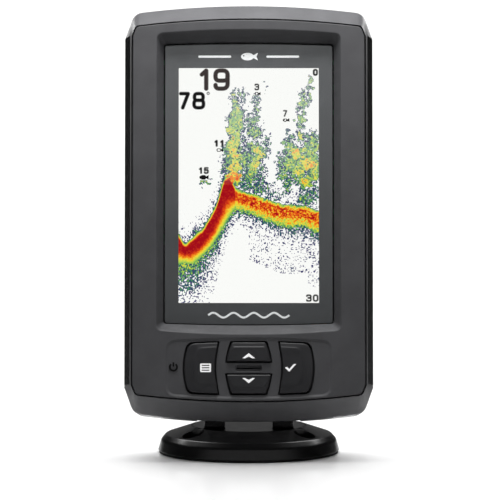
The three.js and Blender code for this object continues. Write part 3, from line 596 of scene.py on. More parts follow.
# Moulded finishes: colour, roughness, size and depth of the grain, and what else differs from the usual.
MOULDED = {
    "satin_case": ((70, 70, 72), 0.52, 0.32, 0.02, {"specular": 0.35}),
    "key_plastic": ((35, 35, 37), 0.44, 0.28, 0.014, {"specular": 0.3}),
    "gloss_black": ((9, 9, 10), 0.25, 0.7, 0.002, {"sheen_spread": 0.02, "specular": 0.3, "wave": 0.004}),
    "moulded_black": ((34, 34, 36), 0.55, 0.4, 0.025, {}),
    "seal_rubber": ((26, 26, 26), 0.82, 0.25, 0.02, {"specular": 0.3}),
    "cable_black": ((24, 24, 26), 0.5, 0.5, 0.012, {}),
    "printed_film": ((74, 75, 77), 0.5, 0.2, 0.004, {"shift": 0.05}),
    "diffuser_white": ((240, 240, 236), 0.7, 0.5, 0.01, {"shift": 0.03}),
    # The bezel's satin is a darker copy of the case's. It is partly its own tone and partly painted shade, which
    # keeps the bezel's face darker than the lit rim round it.
    "bezel_satin": ((60, 60, 62), 0.58, 0.32, 0.02, {"specular": 0.25}),
}
LOOKS = {name: moulded(name, *values, **more) for name, (*values, more) in MOULDED.items()}
LOOKS |= {
    "lens_clear": clear_lens("lens_clear"),
    "picture": lit_picture("picture"),
    "steel": metal("steel", (190, 192, 196), 0.34, 6),
    "brass": metal("brass", (206, 168, 92), 0.36, 5),
    "circuit_green": circuit_board("circuit_green"),
    "flex_amber": ribbon("flex_amber"),
    "white_ink": ink("white_ink", (245, 245, 245)),
    "black_ink": ink("black_ink", (3, 3, 3), 0.15),
}


# Head: bezel, housing and grips

def side_key_outline(side, outer=0.0, top=0.0, bottom=0.0, inner=0.0, reach=1.0):
    """The crescent of a side key. Each value moves that edge towards the key's middle."""
    high, low = KEY_TOP - top, KEY_BOTTOM + bottom
    corners = [
        (side * (24.1 - outer), high - 0.5, 2.6 * reach),
        (side * (26.4 - outer), KEY_MIDDLE, 6 * reach),
        (side * (24.1 - outer), low + 0.5, 2.6 * reach),
        (side * (11.7 + inner), low, 0.5),
        (side * (13.55 + inner), KEY_MIDDLE, 6),
        (side * (11.7 + inner), high, 0.5),
    ]
    return soft_polygon(corners)


def rocker_outline(side, narrow=0.0, wide=0.0, flank=0.0):
    """The trapezium of the up key (side 1) or the down key (side -1)."""
    narrow_edge = KEY_TOP - narrow if side > 0 else KEY_BOTTOM + narrow
    wide_edge = (KEY_TOP if side > 0 else KEY_BOTTOM) - side * (ROCKER_HEIGHT - wide)
    waist = (narrow_edge + wide_edge) / 2
    left = [(-7 + flank, narrow_edge, 0.6), (-8.35 + flank, waist, 2.2), (-9.1 + flank, wide_edge, 0.5)]
    right = [(-x, z, reach) for x, z, reach in reversed(left)]
    return soft_polygon(left + right)


def side_key_even(side):
    return lambda inset: side_key_outline(side, inset, inset, inset, inset)


def rocker_even(side):
    return lambda inset: rocker_outline(side, inset, inset, inset)


KEY_OUTLINES = {
    "menu_key": side_key_even(-1), "up_key": rocker_even(1),
    "down_key": rocker_even(-1), "enter_key": side_key_even(1),
}


def rolled(edge, start, radius):
    """Rings that turn from a face down into a wall. The wall stands at inset 0 of `edge`."""
    return [at_depth(edge(-inset), start + depth) for inset, depth in rounding(radius, 4)]


def bezel_dimple(skin):
    """The small groove between the two middle keys. Gives back its edge on the dish."""
    floor_depth = DISH_DEPTH + DIMPLE_DEPTH

    def edge(inset):
        wide, tall = DIMPLE_HALF_WIDTH - inset, DIMPLE_HALF_HEIGHT - inset
        return soft_rectangle(-wide, wide, KEY_MIDDLE - tall, KEY_MIDDLE + tall, 1)

    rings = skin.stack([
        *rolled(edge, DISH_DEPTH, 0.25),
        at_depth(edge(0.15), floor_depth - 0.1),
        at_depth(edge(0.4), floor_depth),
    ])
    skin.cap(rings[-1])
    return rings[0]


def front_bezel():
    skin = Skin()
    outer = skin.stack([
        *[at_depth(outline(BEZEL_OUTLINE, SEAM + inset), depth) for inset, depth in rounding(0.35, 5)],
        at_depth(outline(BEZEL_OUTLINE, SEAM), SKIRT_DEPTH),
        at_depth(outline(BEZEL_OUTLINE, SEAM + 1), SKIRT_DEPTH),
        at_depth(outline(BEZEL_OUTLINE, SEAM + 1), PLATE),
    ])

    lip = 0.4
    recess = outline(RECESS_OUTLINE, 0, RECESS_MIDDLE)
    around = outline(RECESS_OUTLINE, -lip, RECESS_MIDDLE)
    pocket = outline(LENS_OUTLINE, 0, RECESS_MIDDLE)
    wall_top = between(recess, pocket, lip / LENS_FRONT)
    funnel = skin.stack([
        *eased(at_depth(around, 0), at_depth(recess, 0), at_depth(wall_top, lip)),
        at_depth(pocket, LENS_FRONT),
        at_depth(pocket, LENS_BACK + 2),
        at_depth(around, LENS_BACK + 2),
        at_depth(around, PLATE),
    ])

    slope_steps = 7
    dish = skin.stack([
        at_depth(outline(DISH_OUTLINE, DISH_SLOPE * t, KEY_MIDDLE), DISH_DEPTH * t * t * (3 - 2 * t))
        for t in (i / slope_steps for i in range(slope_steps + 1))
    ])

    holes = []
    for shape in KEY_OUTLINES.values():
        rings = rolled(lambda inset: shape(inset - KEY_GAP), DISH_DEPTH, 0.12)
        holes.append(skin.stack([*rings, at_depth(shape(-KEY_GAP), PLATE)]))

    dimple = bezel_dimple(skin)
    skin.fill(outer[0], [funnel[0], dish[0]])
    skin.fill(dish[-1], [*[hole[0] for hole in holes], dimple])
    skin.fill(outer[-1], [funnel[-1], *[hole[-1] for hole in holes]])
    # The bezel takes the darker satin, which carries painted shade on its face.
    part("bezel_shell", skin.mesh(), "head", "satin_case", ["front_bezel"], sharp=50, look="bezel_satin")


def case_back(wall, steps):
    """Rings round the case's rounded back edge, `wall` inside its outer form."""
    return [at_depth(outline(CASE_OUTLINE, SIDE_DRAFT + wall + inwards), CASE_DEPTH - wall - forwards)
            for forwards, inwards in rounding(BACK_RADIUS - wall, steps)]


def case_skin():
    """The closed outer form of the case: sloping rim, drafted sides and a rounded back."""
    rim = outline(BEZEL_OUTLINE, -SEAM)
    widest = outline(CASE_OUTLINE, 0)
    lead_in = 0.25
    straight = at_depth(between(rim, widest, 0.9), RIM_FRONT + 0.9 * (WIDEST_DEPTH - RIM_FRONT))
    side_start = at_depth(outline(CASE_OUTLINE, 0.06), WIDEST_DEPTH + 1)
    return loft([
        at_depth(rim, RIM_FRONT + lead_in),
        at_depth(between(rim, widest, 0.004), RIM_FRONT + 0.3 * lead_in),
        at_depth(between(rim, widest, 0.02), RIM_FRONT + 0.02),
        at_depth(between(rim, widest, 0.05), RIM_FRONT + 0.3),
        *eased(straight, at_depth(widest, WIDEST_DEPTH), side_start),
        *case_back(0, 8),
    ])


def case_room():
    return loft([at_depth(outline(CASE_OUTLINE, WALL + 0.5), SEAL_LEDGE + 2), *case_back(WALL, 3)])


def grip_bar(side, slack):
    """The bar that a side grip fills, `slack` larger than the grip."""
    front_x, back_x = 46.85 - slack, 47.4 - slack
    back = GRIP_BACK + slack
    section = [(front_x, -1), (FAR, -1), (FAR, back), (back_x, back), (back_x, 5.5), (front_x, 0.6)]
    return loft([[(side * x, y, z) for x, y in section] for z in (GRIP_BOTTOM - slack, GRIP_TOP + slack)])


def screw_places():
    return [(side * SCREW_X, z) for z in SCREW_ROWS for side in (-1, 1)]


def rear_housing():
    bay_half = BAY_HALF_WIDTH + WALL
    bay_box = block(-bay_half, bay_half, BAY_FLOOR - BAY_WALL, FAR, -100, BAY_TOP + WALL)
    deck_box = block(-31, 31, SOCKET_DECK - WALL, FAR, SOCKET_Z - 14, SOCKET_Z + 16)
    shell = cut(
        case_skin(),
        cut(case_room(), bay_box, deck_box),
        prism(outline(BEZEL_OUTLINE, -SEAM), -1, SEAL_LEDGE),
        prism(outline(BEZEL_OUTLINE, 2.4), SEAL_LEDGE - 1, SEAL_LEDGE + 3),
        block(-BAY_HALF_WIDTH, BAY_HALF_WIDTH, BAY_FLOOR, FAR, -100, BAY_TOP),
        prism(soft_rectangle(-29, 29, SOCKET_Z - 12, SOCKET_Z + 14, 3), SOCKET_DECK, FAR),
        grip_bar(-1, GAP),
        grip_bar(1, GAP),
    )
    shell = join(shell, *[post(BOSS_RADIUS, 12.6, 32.5, x, z) for x, z in screw_places()])
    shell = cut(
        shell,
        *[post(SCREW_HEAD_HOLE, SCREW_SEAT, FAR, x, z) for x, z in screw_places()],
        *[post(SCREW_SHANK_HOLE, 12, SCREW_SEAT + 1, x, z) for x, z in screw_places()],
        *[post(SOCKET_HOLE, 28, 40, x, SOCKET_Z) for x in (-SOCKET_X, SOCKET_X)],
    )
    part("rear_case", tidy(shell), "head", "satin_case", ["rear_housing"], bevel=0.35, sharp=38, segments=2)


def side_grip(name, side, node):
    grip = tidy(common(case_skin(), grip_bar(side, 0)))
    part(name, grip, "head", "gloss_black", [node], bevel=0.3, sharp=25)


# Head: display

def lens_edge(inset):
    return outline(LENS_OUTLINE, LENS_GAP + inset, RECESS_MIDDLE)


def display_lens():
    rings = [at_depth(lens_edge(inset), LENS_FRONT + depth) for inset, depth in rounding(0.3, 4)]
    rings.append(at_depth(lens_edge(0), LENS_BACK))
    part("lens", loft(rings), "head", "lens_clear", ["display_lens"], sharp=60)


def lens_mask():
    window = soft_rectangle(PICTURE_LOW.x, PICTURE_HIGH.x, PICTURE_LOW.y, PICTURE_HIGH.y, 0.3, 3)
    film = sheet([(lens_edge(0.25), [window])], MASK_FRONT, 0.2)
    part("mask", film, "head", "printed_film", ["lens_mask"])


def mask_window():
    """The window in the CAD mask: the lowest and highest (x, z) of its inner edge."""
    points = head_points("lens_mask")
    low, high = extent(points)
    inner = [p for p in points if low.x + 1 < p.x < high.x - 1 and low.z + 4 < p.z < high.z - 4]
    return extent([(p.x, p.z) for p in inner])


PICTURE_LOW, PICTURE_HIGH = mask_window()

# The sea bed's echo and the weed on it, in shares of the picture's width and height from its top left corner.
BED_TOP = ((0, 0.70), (0.045, 0.748), (0.18, 0.68), (0.27, 0.585), (0.32, 0.48), (0.36, 0.45), (0.41, 0.515),
           (0.75, 0.58), (0.9, 0.588), (1, 0.607))
BED_END = ((0, 0.832), (0.12, 0.832), (0.25, 0.752), (0.345, 0.655), (0.4, 0.6), (0.55, 0.63), (0.75, 0.678),
           (0.9, 0.672), (1, 0.71))
# Each tuft is (x, y, half width, half height, strength), in thousandths.
TUFTS = (
    (395, 135, 18, 14, 600), (392, 112, 20, 30, 300), (392, 150, 28, 30, 420), (452, 105, 20, 25, 340),
    (462, 130, 25, 20, 280), (415, 190, 50, 50, 520), (400, 220, 45, 50, 560), (405, 260, 55, 45, 540),
    (358, 265, 22, 20, 600), (400, 300, 45, 50, 600), (385, 340, 55, 50, 600), (395, 385, 45, 50, 680),
    (400, 430, 45, 50, 740), (395, 460, 50, 30, 780), (358, 490, 50, 35, 920), (350, 400, 40, 80, 340),
    (435, 350, 35, 90, 400), (552, 145, 30, 30, 260), (556, 175, 18, 40, 340), (545, 222, 22, 22, 460),
    (530, 250, 50, 30, 360), (550, 275, 45, 30, 440), (505, 230, 35, 30, 280), (468, 325, 30, 30, 280),
    (628, 310, 25, 30, 300), (540, 345, 50, 25, 580), (585, 375, 30, 25, 620), (625, 350, 25, 40, 340),
    (528, 375, 60, 40, 460), (530, 410, 45, 30, 640), (528, 435, 45, 30, 580), (500, 465, 70, 30, 380),
    (570, 450, 45, 50, 360), (485, 410, 30, 50, 420), (635, 85, 14, 16, 300), (935, 55, 18, 20, 460),
    (930, 88, 18, 20, 400), (885, 122, 20, 20, 320), (930, 140, 18, 30, 360), (883, 151, 30, 20, 560),
    (847, 180, 18, 12, 360), (888, 193, 20, 15, 280), (872, 230, 33, 25, 440), (857, 288, 28, 20, 680),
    (775, 270, 18, 15, 300), (785, 310, 30, 25, 360), (770, 335, 30, 30, 460), (955, 300, 45, 30, 440),
    (920, 330, 50, 40, 500), (970, 335, 35, 40, 480), (800, 350, 50, 35, 500), (845, 372, 55, 25, 690),
    (748, 400, 50, 40, 380), (945, 376, 50, 40, 500), (800, 413, 70, 35, 550), (923, 413, 70, 30, 670),
    (857, 442, 70, 25, 620), (967, 440, 50, 40, 560), (748, 452, 50, 30, 450), (912, 485, 50, 20, 660),
    (845, 458, 60, 30, 420), (770, 500, 35, 35, 360), (900, 560, 50, 25, 420), (930, 530, 70, 40, 300),
    (480, 500, 60, 25, 310), (585, 512, 90, 30, 270), (690, 550, 60, 20, 220), (190, 492, 45, 8, 460),
)
# Echo strength to display colour.
ECHO_COLOURS = (
    (0.12, (92, 82, 128)), (0.24, (40, 50, 98)), (0.36, (50, 114, 102)), (0.46, (108, 176, 90)),
    (0.58, (182, 211, 82)), (0.68, (244, 222, 60)), (0.78, (246, 148, 34)), (0.88, (222, 66, 22)),
    (1.0, (164, 12, 26)),
)
PAPER = (253, 253, 250)


def cloud(rng, rows, columns, cell):
    """Smooth random values from 0 to 1, with one hill to about `cell` cells."""
    coarse = rng.random((int(rows / cell) + 3, int(columns / cell) + 3))
    y, x = np.arange(rows) / cell, np.arange(columns) / cell
    iy, ix = y.astype(int), x.astype(int)
    fy, fx = (y - iy)[:, None], (x - ix)[None, :]
    fy, fx = fy * fy * (3 - 2 * fy), fx * fx * (3 - 2 * fx)
    upper = coarse[iy][:, ix] * (1 - fx) + coarse[iy][:, ix + 1] * fx
    lower = coarse[iy + 1][:, ix] * (1 - fx) + coarse[iy + 1][:, ix + 1] * fx
    return upper * (1 - fy) + lower * fy


def curve(knots, x):
    """Knots joined by lines and then eased."""
    values = np.interp(x, [k[0] for k in knots], [k[1] for k in knots])
    reach = max(len(x) // 60, 1)
    padded = np.pad(values, reach, mode="edge")
    return np.convolve(padded, np.ones(2 * reach + 1) / (2 * reach + 1), "valid")


def bed_echo(x, y, top, end, fine, grain):
    rise = np.clip((y - top) / 0.02, 0, 1)
    fall = np.clip((end - y) / (0.5 * (end - top)), 0, 1)
    core = np.where(x < 0.4, 1.0, 0.88)
    inside = (y > top) & (y < end)
    bed = np.where(inside, 0.4 + (core - 0.4) * np.minimum(rise, fall ** 0.7), 0)
    speckle = np.clip((x - 0.36) / 0.1, 0.3, 1)
    return bed + np.where(inside, speckle * (0.2 * (grain - 0.5) + 0.34 * (fine - 0.5)), 0)


def haze_echo(x, y, top, end, fine, lump):
    """Loose echoes over the bed, fading ones under it, and faint drift down to the bottom."""
    above = np.where(y <= top, 0.46 * np.exp(-(top - y) / 0.02) * np.clip((0.4 - x) / 0.1, 0.5, 1), 0)
    above *= np.clip(x / 0.12, 0.5, 1)
    reach = np.interp(x, [0, 0.2, 0.35, 0.55, 0.75, 1], [0.14, 0.09, 0.035, 0.022, 0.04, 0.04])
    strong = np.interp(x, [0, 0.2, 0.4, 1], [0.52, 0.46, 0.44, 0.4])
    below = np.where(y >= end, strong * np.exp(-((y - end) / reach) ** 1.3), 0)
    drift = np.where((y > end) & (y < end + 0.2) & (x > 0.5), 0.055, 0)
    streak = np.where((y > end) & (y < 0.93) & (x > 0.92), 0.05, 0)
    haze = np.maximum(np.maximum(above, below), np.maximum(drift, streak))
    return np.where(haze > 0.01, haze + 0.62 * (fine - 0.62) + 0.1 * (lump - 0.5), 0)


def weed_echo(rng, x, y, fine, grain, lump):
    size = lump.shape
    x = x + 0.05 * (cloud(rng, *size, 5) - 0.5)
    y = y + 0.03 * (cloud(rng, *size, 5) - 0.5)
    weed = np.zeros(size)
    for tuft in TUFTS:
        middle_x, middle_y, half_width, half_height, strength = (value / 1000 for value in tuft)
        away = ((x - middle_x) / half_width) ** 2 + ((y - middle_y) / half_height) ** 2
        weed = np.maximum(weed, strength * np.clip(1.25 - away * 0.75, 0, 1))
    rough = 0.85 - 0.95 * weed
    weed = np.where(weed > 0.02, weed * (0.86 + 0.28 * lump) + rough * (fine - 0.53) + 0.2 * (grain - 0.5), 0)
    specks = cloud(rng, *size, 1.6) > 0.8
    return weed - np.where(specks & (weed > 0.3), 0.3, 0)


def echo_strength(rng, x, y):
    """How strong the echo is in each cell. x and y run from 0 to 1, from the top left corner."""
    fine, grain, lump = [cloud(rng, len(y), len(x), cell) for cell in (1.5, 2.6, 9)]
    top, end = curve(BED_TOP, x)[None, :], curve(BED_END, x)[None, :]
    x, y = x[None, :], y[:, None] + 0.008 * (lump - 0.5)
    bed = bed_echo(x, y, top, end, fine, grain)
    haze = haze_echo(x, y, top, end, fine, lump)
    return np.maximum(np.maximum(bed, haze), weed_echo(rng, x, y, fine, grain, lump))


# Digits as strokes in a cell 1 high: width, then (closed, [(x, z, reach), ...]) for each stroke.
DIGITS = {
    "0": (0.62, [(True, [(0, 0, 0.3), (0.62, 0, 0.3), (0.62, 1, 0.3), (0, 1, 0.3)])]),
    "1": (0.46, [(False, [(0.1, 0.78, 0), (0.34, 1, 0.02), (0.34, 0, 0)])]),
    "3": (0.62, [(False, [(0, 0.84, 0), (0, 1, 0.15), (0.62, 1, 0.25), (0.62, 0.53, 0.2), (0.22, 0.53, 0)]),
                 (False, [(0.3, 0.53, 0), (0.62, 0.53, 0.2), (0.62, 0, 0.25), (0, 0, 0.15), (0, 0.16, 0)])]),
    "5": (0.62, [(False, [(0.58, 1, 0), (0.04, 1, 0.01), (0, 0.56, 0.01), (0.62, 0.62, 0.2), (0.62, 0, 0.25),
                          (0, 0, 0.15), (0, 0.16, 0)])]),
    "7": (0.52, [(False, [(0, 1, 0), (0.52, 1, 0.02), (0.14, 0, 0)])]),
    "8": (0.66, [(True, [(0.03, 0.53, 0.2), (0.63, 0.53, 0.2), (0.63, 1, 0.22), (0.03, 1, 0.22)]),
                 (True, [(0, 0, 0.24), (0.66, 0, 0.24), (0.66, 0.53, 0.22), (0, 0.53, 0.22)])]),
    "9": (0.66, [(True, [(0, 0.44, 0.22), (0.66, 0.44, 0.22), (0.66, 1, 0.26), (0, 1, 0.26)]),
                 (False, [(0.66, 0.7, 0), (0.66, 0, 0.28), (0, 0, 0.2), (0, 0.2, 0)])]),
}


def stroke_points(closed, corners):
    if closed:
        made = soft_polygon(corners, 5)
        return made + made[:1]
    made = [corners[0][:2]]
    for before, (x, z, reach), after in zip(corners, corners[1:], corners[2:]):
        here = Vector((x, z))
        start = here + (Vector(before[:2]) - here).normalized() * reach
        end = here + (Vector(after[:2]) - here).normalized() * reach
        made += quadratic(start, here, end, 5)
    return [*made, corners[-1][:2]]


# Colours by row and column, and the columns' x and the rows' distance down, in millimetres.
Canvas = namedtuple("Canvas", "picture x y")


def stamp(canvas, cover, colour):
    """Lays a colour over the picture where `cover`, from 0 to 1, says."""
    picture = canvas.picture
    picture += (linear(colour) - picture) * cover[..., None]


def draw_line(canvas, points, width, colour):
    """Draws a line of points (x, down) in millimetres into the picture."""
    gx, gy = canvas.x, canvas.y
    nearest = np.full((gy.size, gx.size), 1e9)
    for (ax, ay), (bx, by) in zip(points, points[1:]):
        dx, dy = bx - ax, by - ay
        span = max(dx * dx + dy * dy, 1e-9)
        t = np.clip(((gx - ax) * dx + (gy - ay) * dy) / span, 0, 1)
        nearest = np.minimum(nearest, np.hypot(gx - ax - t * dx, gy - ay - t * dy))
    cell = gx[0, 1] - gx[0, 0]
    stamp(canvas, np.clip((width / 2 - nearest) / cell + 0.5, 0, 1), colour)


def draw_number(canvas, text, left, top, height, stroke, colour, wide=1.0):
    """Digits whose outer edges fill the given height, in millimetres from the top left corner."""
    tall = height - stroke
    start = left + stroke / 2
    for digit in text:
        width, strokes = DIGITS[digit]
        for closed, corners in strokes:
            line = [(start + px * tall * wide, top + stroke / 2 + (1 - pz) * tall)
                    for px, pz in stroke_points(closed, corners)]
            draw_line(canvas, line, stroke, colour)
        start += width * tall * wide + 1.6 * stroke


def draw_fish(canvas, middle_x, middle_y, length, hollow, colour):
    gx, gy = canvas.x - middle_x, canvas.y - middle_y
    away = (gx / (0.36 * length) + 0.25) ** 2 + (gy / (0.24 * length)) ** 2
    body = (away < 1) & (away > hollow)
    tail = (gx > 0.15 * length) & (gx < 0.5 * length) & (abs(gy) < 0.75 * (gx - 0.12 * length))
    stamp(canvas, (body | tail).astype(float), colour)


def picture_colours(width, height, columns, rows):
    """The colours of the lit picture, row by row from the top, as light."""
    rng = np.random.default_rng(43)
    across = (np.arange(columns) + 0.5) / columns
    along = (np.arange(rows) + 0.5) / rows
    strength = echo_strength(rng, across, along)
    levels = [level for level, _ in ECHO_COLOURS]
    colours = np.array([linear(c) for _, c in ECHO_COLOURS])
    picture = np.stack([np.interp(strength, levels, colours[:, i]) for i in range(3)], -1)
    picture = np.where(strength[..., None] < levels[0], linear(PAPER), picture)

    pale = np.interp(along, [0, 0.1, 0.42, 0.5], [0.36, 0.3, 0.12, 0.0])[:, None, None]
    pale = pale * np.where(strength < 0.3, 0.35, 1.0)[..., None]
    picture += (linear(PAPER) - picture) * pale
    canvas = Canvas(picture, (across * width)[None, :], (along * height)[:, None])
    dark, warm = (24, 24, 24), (62, 55, 54)
    draw_number(canvas, "19", 7.6, 0.1, 9.0, 1.75, warm)
    draw_number(canvas, "78", 0.15, 9.5, 7.1, 1.45, dark)
    draw_number(canvas, "0", 53.1, 0.3, 2.8, 0.78, dark)
    draw_number(canvas, "30", 50.3, 90.3, 2.95, 0.68, dark, 1.12)
    ring = [(11.7 + 0.45 * cos(a), 10.1 + 0.45 * sin(a)) for a in np.linspace(0, 2 * pi, 13)]
    draw_line(canvas, ring, 0.34, dark)
    for text, left, top, tall, stroke, fish, hollow in (
        ("3", 30.0, 6.2, 2.7, 0.58, 2.6, 0.22), ("7", 41.3, 16.8, 2.7, 0.56, 2.6, 0.22),
        ("11", 14.0, 28.7, 2.8, 0.86, 2.8, 0.3), ("15", 7.9, 39.6, 2.75, 0.74, 3.9, 0.0),
    ):
        draw_number(canvas, text, left, top, tall, stroke, dark)
        draw_fish(canvas, left + 1.1 * len(text), top + tall + 1.35, fish, hollow, dark)
    return picture


def lcd_picture():
    """The panel as a closed slab whose front is a sheet of small coloured cells."""
    low, high = extent(head_points("lcd_panel"))
    cell = 0.26
    columns = round((high.x - low.x) / cell)
    rows = round((high.z - low.z) / cell)
    xs = np.linspace(low.x, high.x, columns + 1)
    zs = np.linspace(high.z, low.z, rows + 1)
    mid_x, mid_z = (xs[1:] + xs[:-1]) / 2, (zs[1:] + zs[:-1]) / 2
    in_x = (mid_x > PICTURE_LOW.x) & (mid_x < PICTURE_HIGH.x)
    in_z = (mid_z > PICTURE_LOW.y) & (mid_z < PICTURE_HIGH.y)
    size = PICTURE_HIGH - PICTURE_LOW
    colours = np.full((rows, columns, 3), 0.004)
    colours[np.ix_(in_z, in_x)] = picture_colours(size.x, size.y, int(in_x.sum()), int(in_z.sum()))

    gx, gz = np.meshgrid(xs, zs)
    front = np.stack([gx.ravel(), np.full(gx.size, low.y), gz.ravel()], -1)
    corner = np.arange((rows + 1) * (columns + 1)).reshape(rows + 1, columns + 1)
    quads = np.stack([corner[:-1, :-1], corner[1:, :-1], corner[1:, 1:], corner[:-1, 1:]], -1).reshape(-1, 4)
    border = [*corner[0, :], *corner[1:, -1], *corner[-1, -2::-1], *corner[-2:0:-1, 0]]
    skin = Skin()
    skin.points = list(front)
    skin.faces = [tuple(int(i) for i in q) for q in quads]
    back = skin.ring([(front[i][0], high.y, front[i][2]) for i in border])
    skin.bridge([int(i) for i in border], back)
    skin.cap(back)
    mesh = skin.raw()
    per_face = np.full((len(mesh.polygons), 4), 0.004, np.float32)
    per_face[:, 3] = 1
    per_face[:rows * columns, :3] = colours.reshape(-1, 3)
    sides = np.zeros(len(mesh.polygons), np.int32)
    mesh.polygons.foreach_get("loop_total", sides)
    attribute = mesh.color_attributes.new(PICTURE_COLOURS, "FLOAT_COLOR", "CORNER")
    attribute.data.foreach_set("color", np.repeat(per_face, sides, axis=0).ravel())
    part("lcd_screen", mesh, "head", "picture", ["lcd_panel"])


# Head: keys, icons and marks

def key_cap(name, bevelled, slope):
    """A key with a flange under the bezel.

    bevelled(share) is its top's outline, from the rim (0) to the flat (1). `slope` has (share, depth) pairs.
    """
    flange_front, flange_back = 2.7, 3.4
    even = KEY_OUTLINES[name]
    skin = Skin()
    made = skin.stack([
        at_depth(even(-0.6), flange_back),
        at_depth(even(-0.6), flange_front),
        at_depth(even(CAP_GAP), flange_front - 0.05),
        at_depth(even(CAP_GAP), -0.22),
        at_depth(even(CAP_GAP + 0.07), -0.38),
        *[at_depth(bevelled(share), depth) for share, depth in slope],
        at_depth(bevelled(1.0), KEY_FACE),
    ])
    skin.cap(made[0])
    skin.fill(made[-1])
    part(name + "_cap", skin.mesh(), name + "_body", "key_plastic", [name], sharp=50)


def keys():
    edge = CAP_GAP + KEY_RIM

    def side_key(side):
        return lambda share: side_key_outline(
            side, outer=edge + 4.0 * share, top=edge + 1.7 * share, bottom=edge + 3.1 * share,
            inner=edge + 0.15 * share, reach=1 - 0.35 * share)

    def rocker(side, slope):
        return lambda share: rocker_outline(
            side, narrow=edge + slope * share, wide=edge + 0.1 * share, flank=edge + 0.25 * share)

    gentle = ((0, -0.44), (0.12, -0.47), (0.6, -0.56), (0.72, -0.6), (0.93, -0.72))
    stepped = ((0, -0.44), (0.12, -0.465), (0.66, -0.53), (0.74, -0.57), (0.94, -0.72))
    key_cap("menu_key", side_key(-1), gentle)
    key_cap("enter_key", side_key(1), gentle)
    key_cap("up_key", rocker(1, 1.7), stepped)
    key_cap("down_key", rocker(-1, 2.6), stepped)


def decal(name, shapes, front, body, look="white_ink", thickness=0.05):
    """Printed shapes that stand a hair proud of the face they are on."""
    part(name, sheet(shapes, front, thickness), body, "printed_film", look=look)


def band(points, width):
    """The outline of a line of a given width."""
    left, right = [], []
    for i, p in enumerate(points):
        along = Vector(points[min(i + 1, len(points) - 1)]) - Vector(points[max(i - 1, 0)])
        across = Vector((-along.y, along.x)).normalized() * width / 2
        left.append((p[0] + across.x, p[1] + across.y))
        right.append((p[0] - across.x, p[1] - across.y))
    return left + right[::-1]


def chevron(z, side):
    points = [(-2.5, -0.85), (0, 1.15), (2.5, -0.85), (1.55, -0.95), (0, -0.2), (-1.55, -0.95)]
    return [(x, z + side * dz) for x, dz in points]


def icons():
    ink_front = KEY_FACE - 0.03
    page_x, check_x = -16.95, 16.45
    lines = [soft_rectangle(page_x - 1.5, page_x + 1.5, middle - 0.22, middle + 0.22, 0.05, 1)
             for middle in (KEY_MIDDLE - 0.95, KEY_MIDDLE, KEY_MIDDLE + 0.95)]
    page = soft_rectangle(page_x - 2.15, page_x + 2.15, KEY_MIDDLE - 1.72, KEY_MIDDLE + 1.72, 0.45, 4)
    decal("menu_icon", [(page, lines)], ink_front, "menu_key_body")
    decal("up_icon", [(chevron(-58.2, 1), [])], ink_front, "up_key_body")
    decal("down_icon", [(chevron(-67.8, -1), [])], ink_front, "down_key_body")
    tick = [(-2.25, 0.1), (-1.35, 0.35), (-0.55, -0.45), (1.25, 1.5), (2.25, 1.5), (-0.55, -1.55)]
    decal("enter_icon", [([(check_x + x, KEY_MIDDLE + z) for x, z in tick], [])], ink_front, "enter_key_body")
    power_x, power_z, radius = -29.6, -62.5, 1.42
    arc = [(power_x + radius * sin(a), power_z + radius * cos(a))
           for a in (radians(38 + 284 * i / 28) for i in range(29))]
    bar = soft_rectangle(power_x - 0.34, power_x + 0.34, power_z + 0.2, power_z + 1.9, 0.1, 2)
    decal("power_icon", [(band(arc, 0.72), []), (bar, [])], -0.03, "head", "black_ink", 0.06)


def generic_marks():
    """Plain printed marks on the border behind the lens: a fish between two bars, and a wave."""
    front = MASK_FRONT - 0.03
    high, low = 62.2, -41.1
    fish = []
    for i in range(25):
        a = radians(24 + (336 - 24) * i / 24)
        fish.append((2.6 * cos(a) - 0.5, high + 1.5 * sin(a)))
    fish += [(3.6, high - 1.5), (3.1, high), (3.6, high + 1.5)]
    bars = [soft_rectangle(s - 6.5, s + 6.5, high - 0.45, high + 0.45, 0.4, 4) for s in (-13.5, 13.5)]
    decal("upper_mark", [(fish, [circle(0.3, -2.0, high + 0.35, 12)]), *[(bar, []) for bar in bars]], front,
          "head", thickness=0.03)
    wave = [(x, low + 0.95 * sin(x * pi / 4)) for x in np.linspace(-16, 16, 97)]
    decal("lower_mark", [(band(wave, 0.8), [])], front, "head", thickness=0.03)


# Back of the head

TO_BACK = Matrix.Rotation(-pi / 2, 4, "X")


def panel_socket(name, side, pins, nodes):
    """A panel socket, open to the back, with contact pins on the floor of its cup."""
    shell = turned([
        (AXIS, 24), (6.3, 24), (6.3, SOCKET_DECK + GAP), (8.0, SOCKET_DECK + GAP), (8.2, SOCKET_DECK + 0.4),
        (8.2, 34.7), (8.1, 35.1), (7.8, 35.35), (7.5, 35.4), (5.5, 35.4), (5.15, 35.3), (4.95, 35.05),
        (4.9, 34.7), (4.9, 26.2), (4.7, 26), (AXIS, 26),
    ], 72)
    shell.transform(TO_BACK)
    contacts = []
    for x, z in circle(2.3, steps=pins):
        contact = turned([(AXIS, 25.5), (0.6, 25.5), (0.6, 32.7), (0.35, 33), (AXIS, 33)], 20)
        contact.transform(TO_BACK)
        contact.transform(Matrix.Translation((x, 0, z)))
        contacts.append(contact)
    mesh = join(shell, block(-0.7, 0.7, 25.5, 34.5, 4.3, 5.2), *contacts)
    mesh.transform(Matrix.Translation((side * SOCKET_X, 0, SOCKET_Z)))
    part(name, tidy(mesh), "head", "moulded_black", nodes, sharp=45)


# Stand

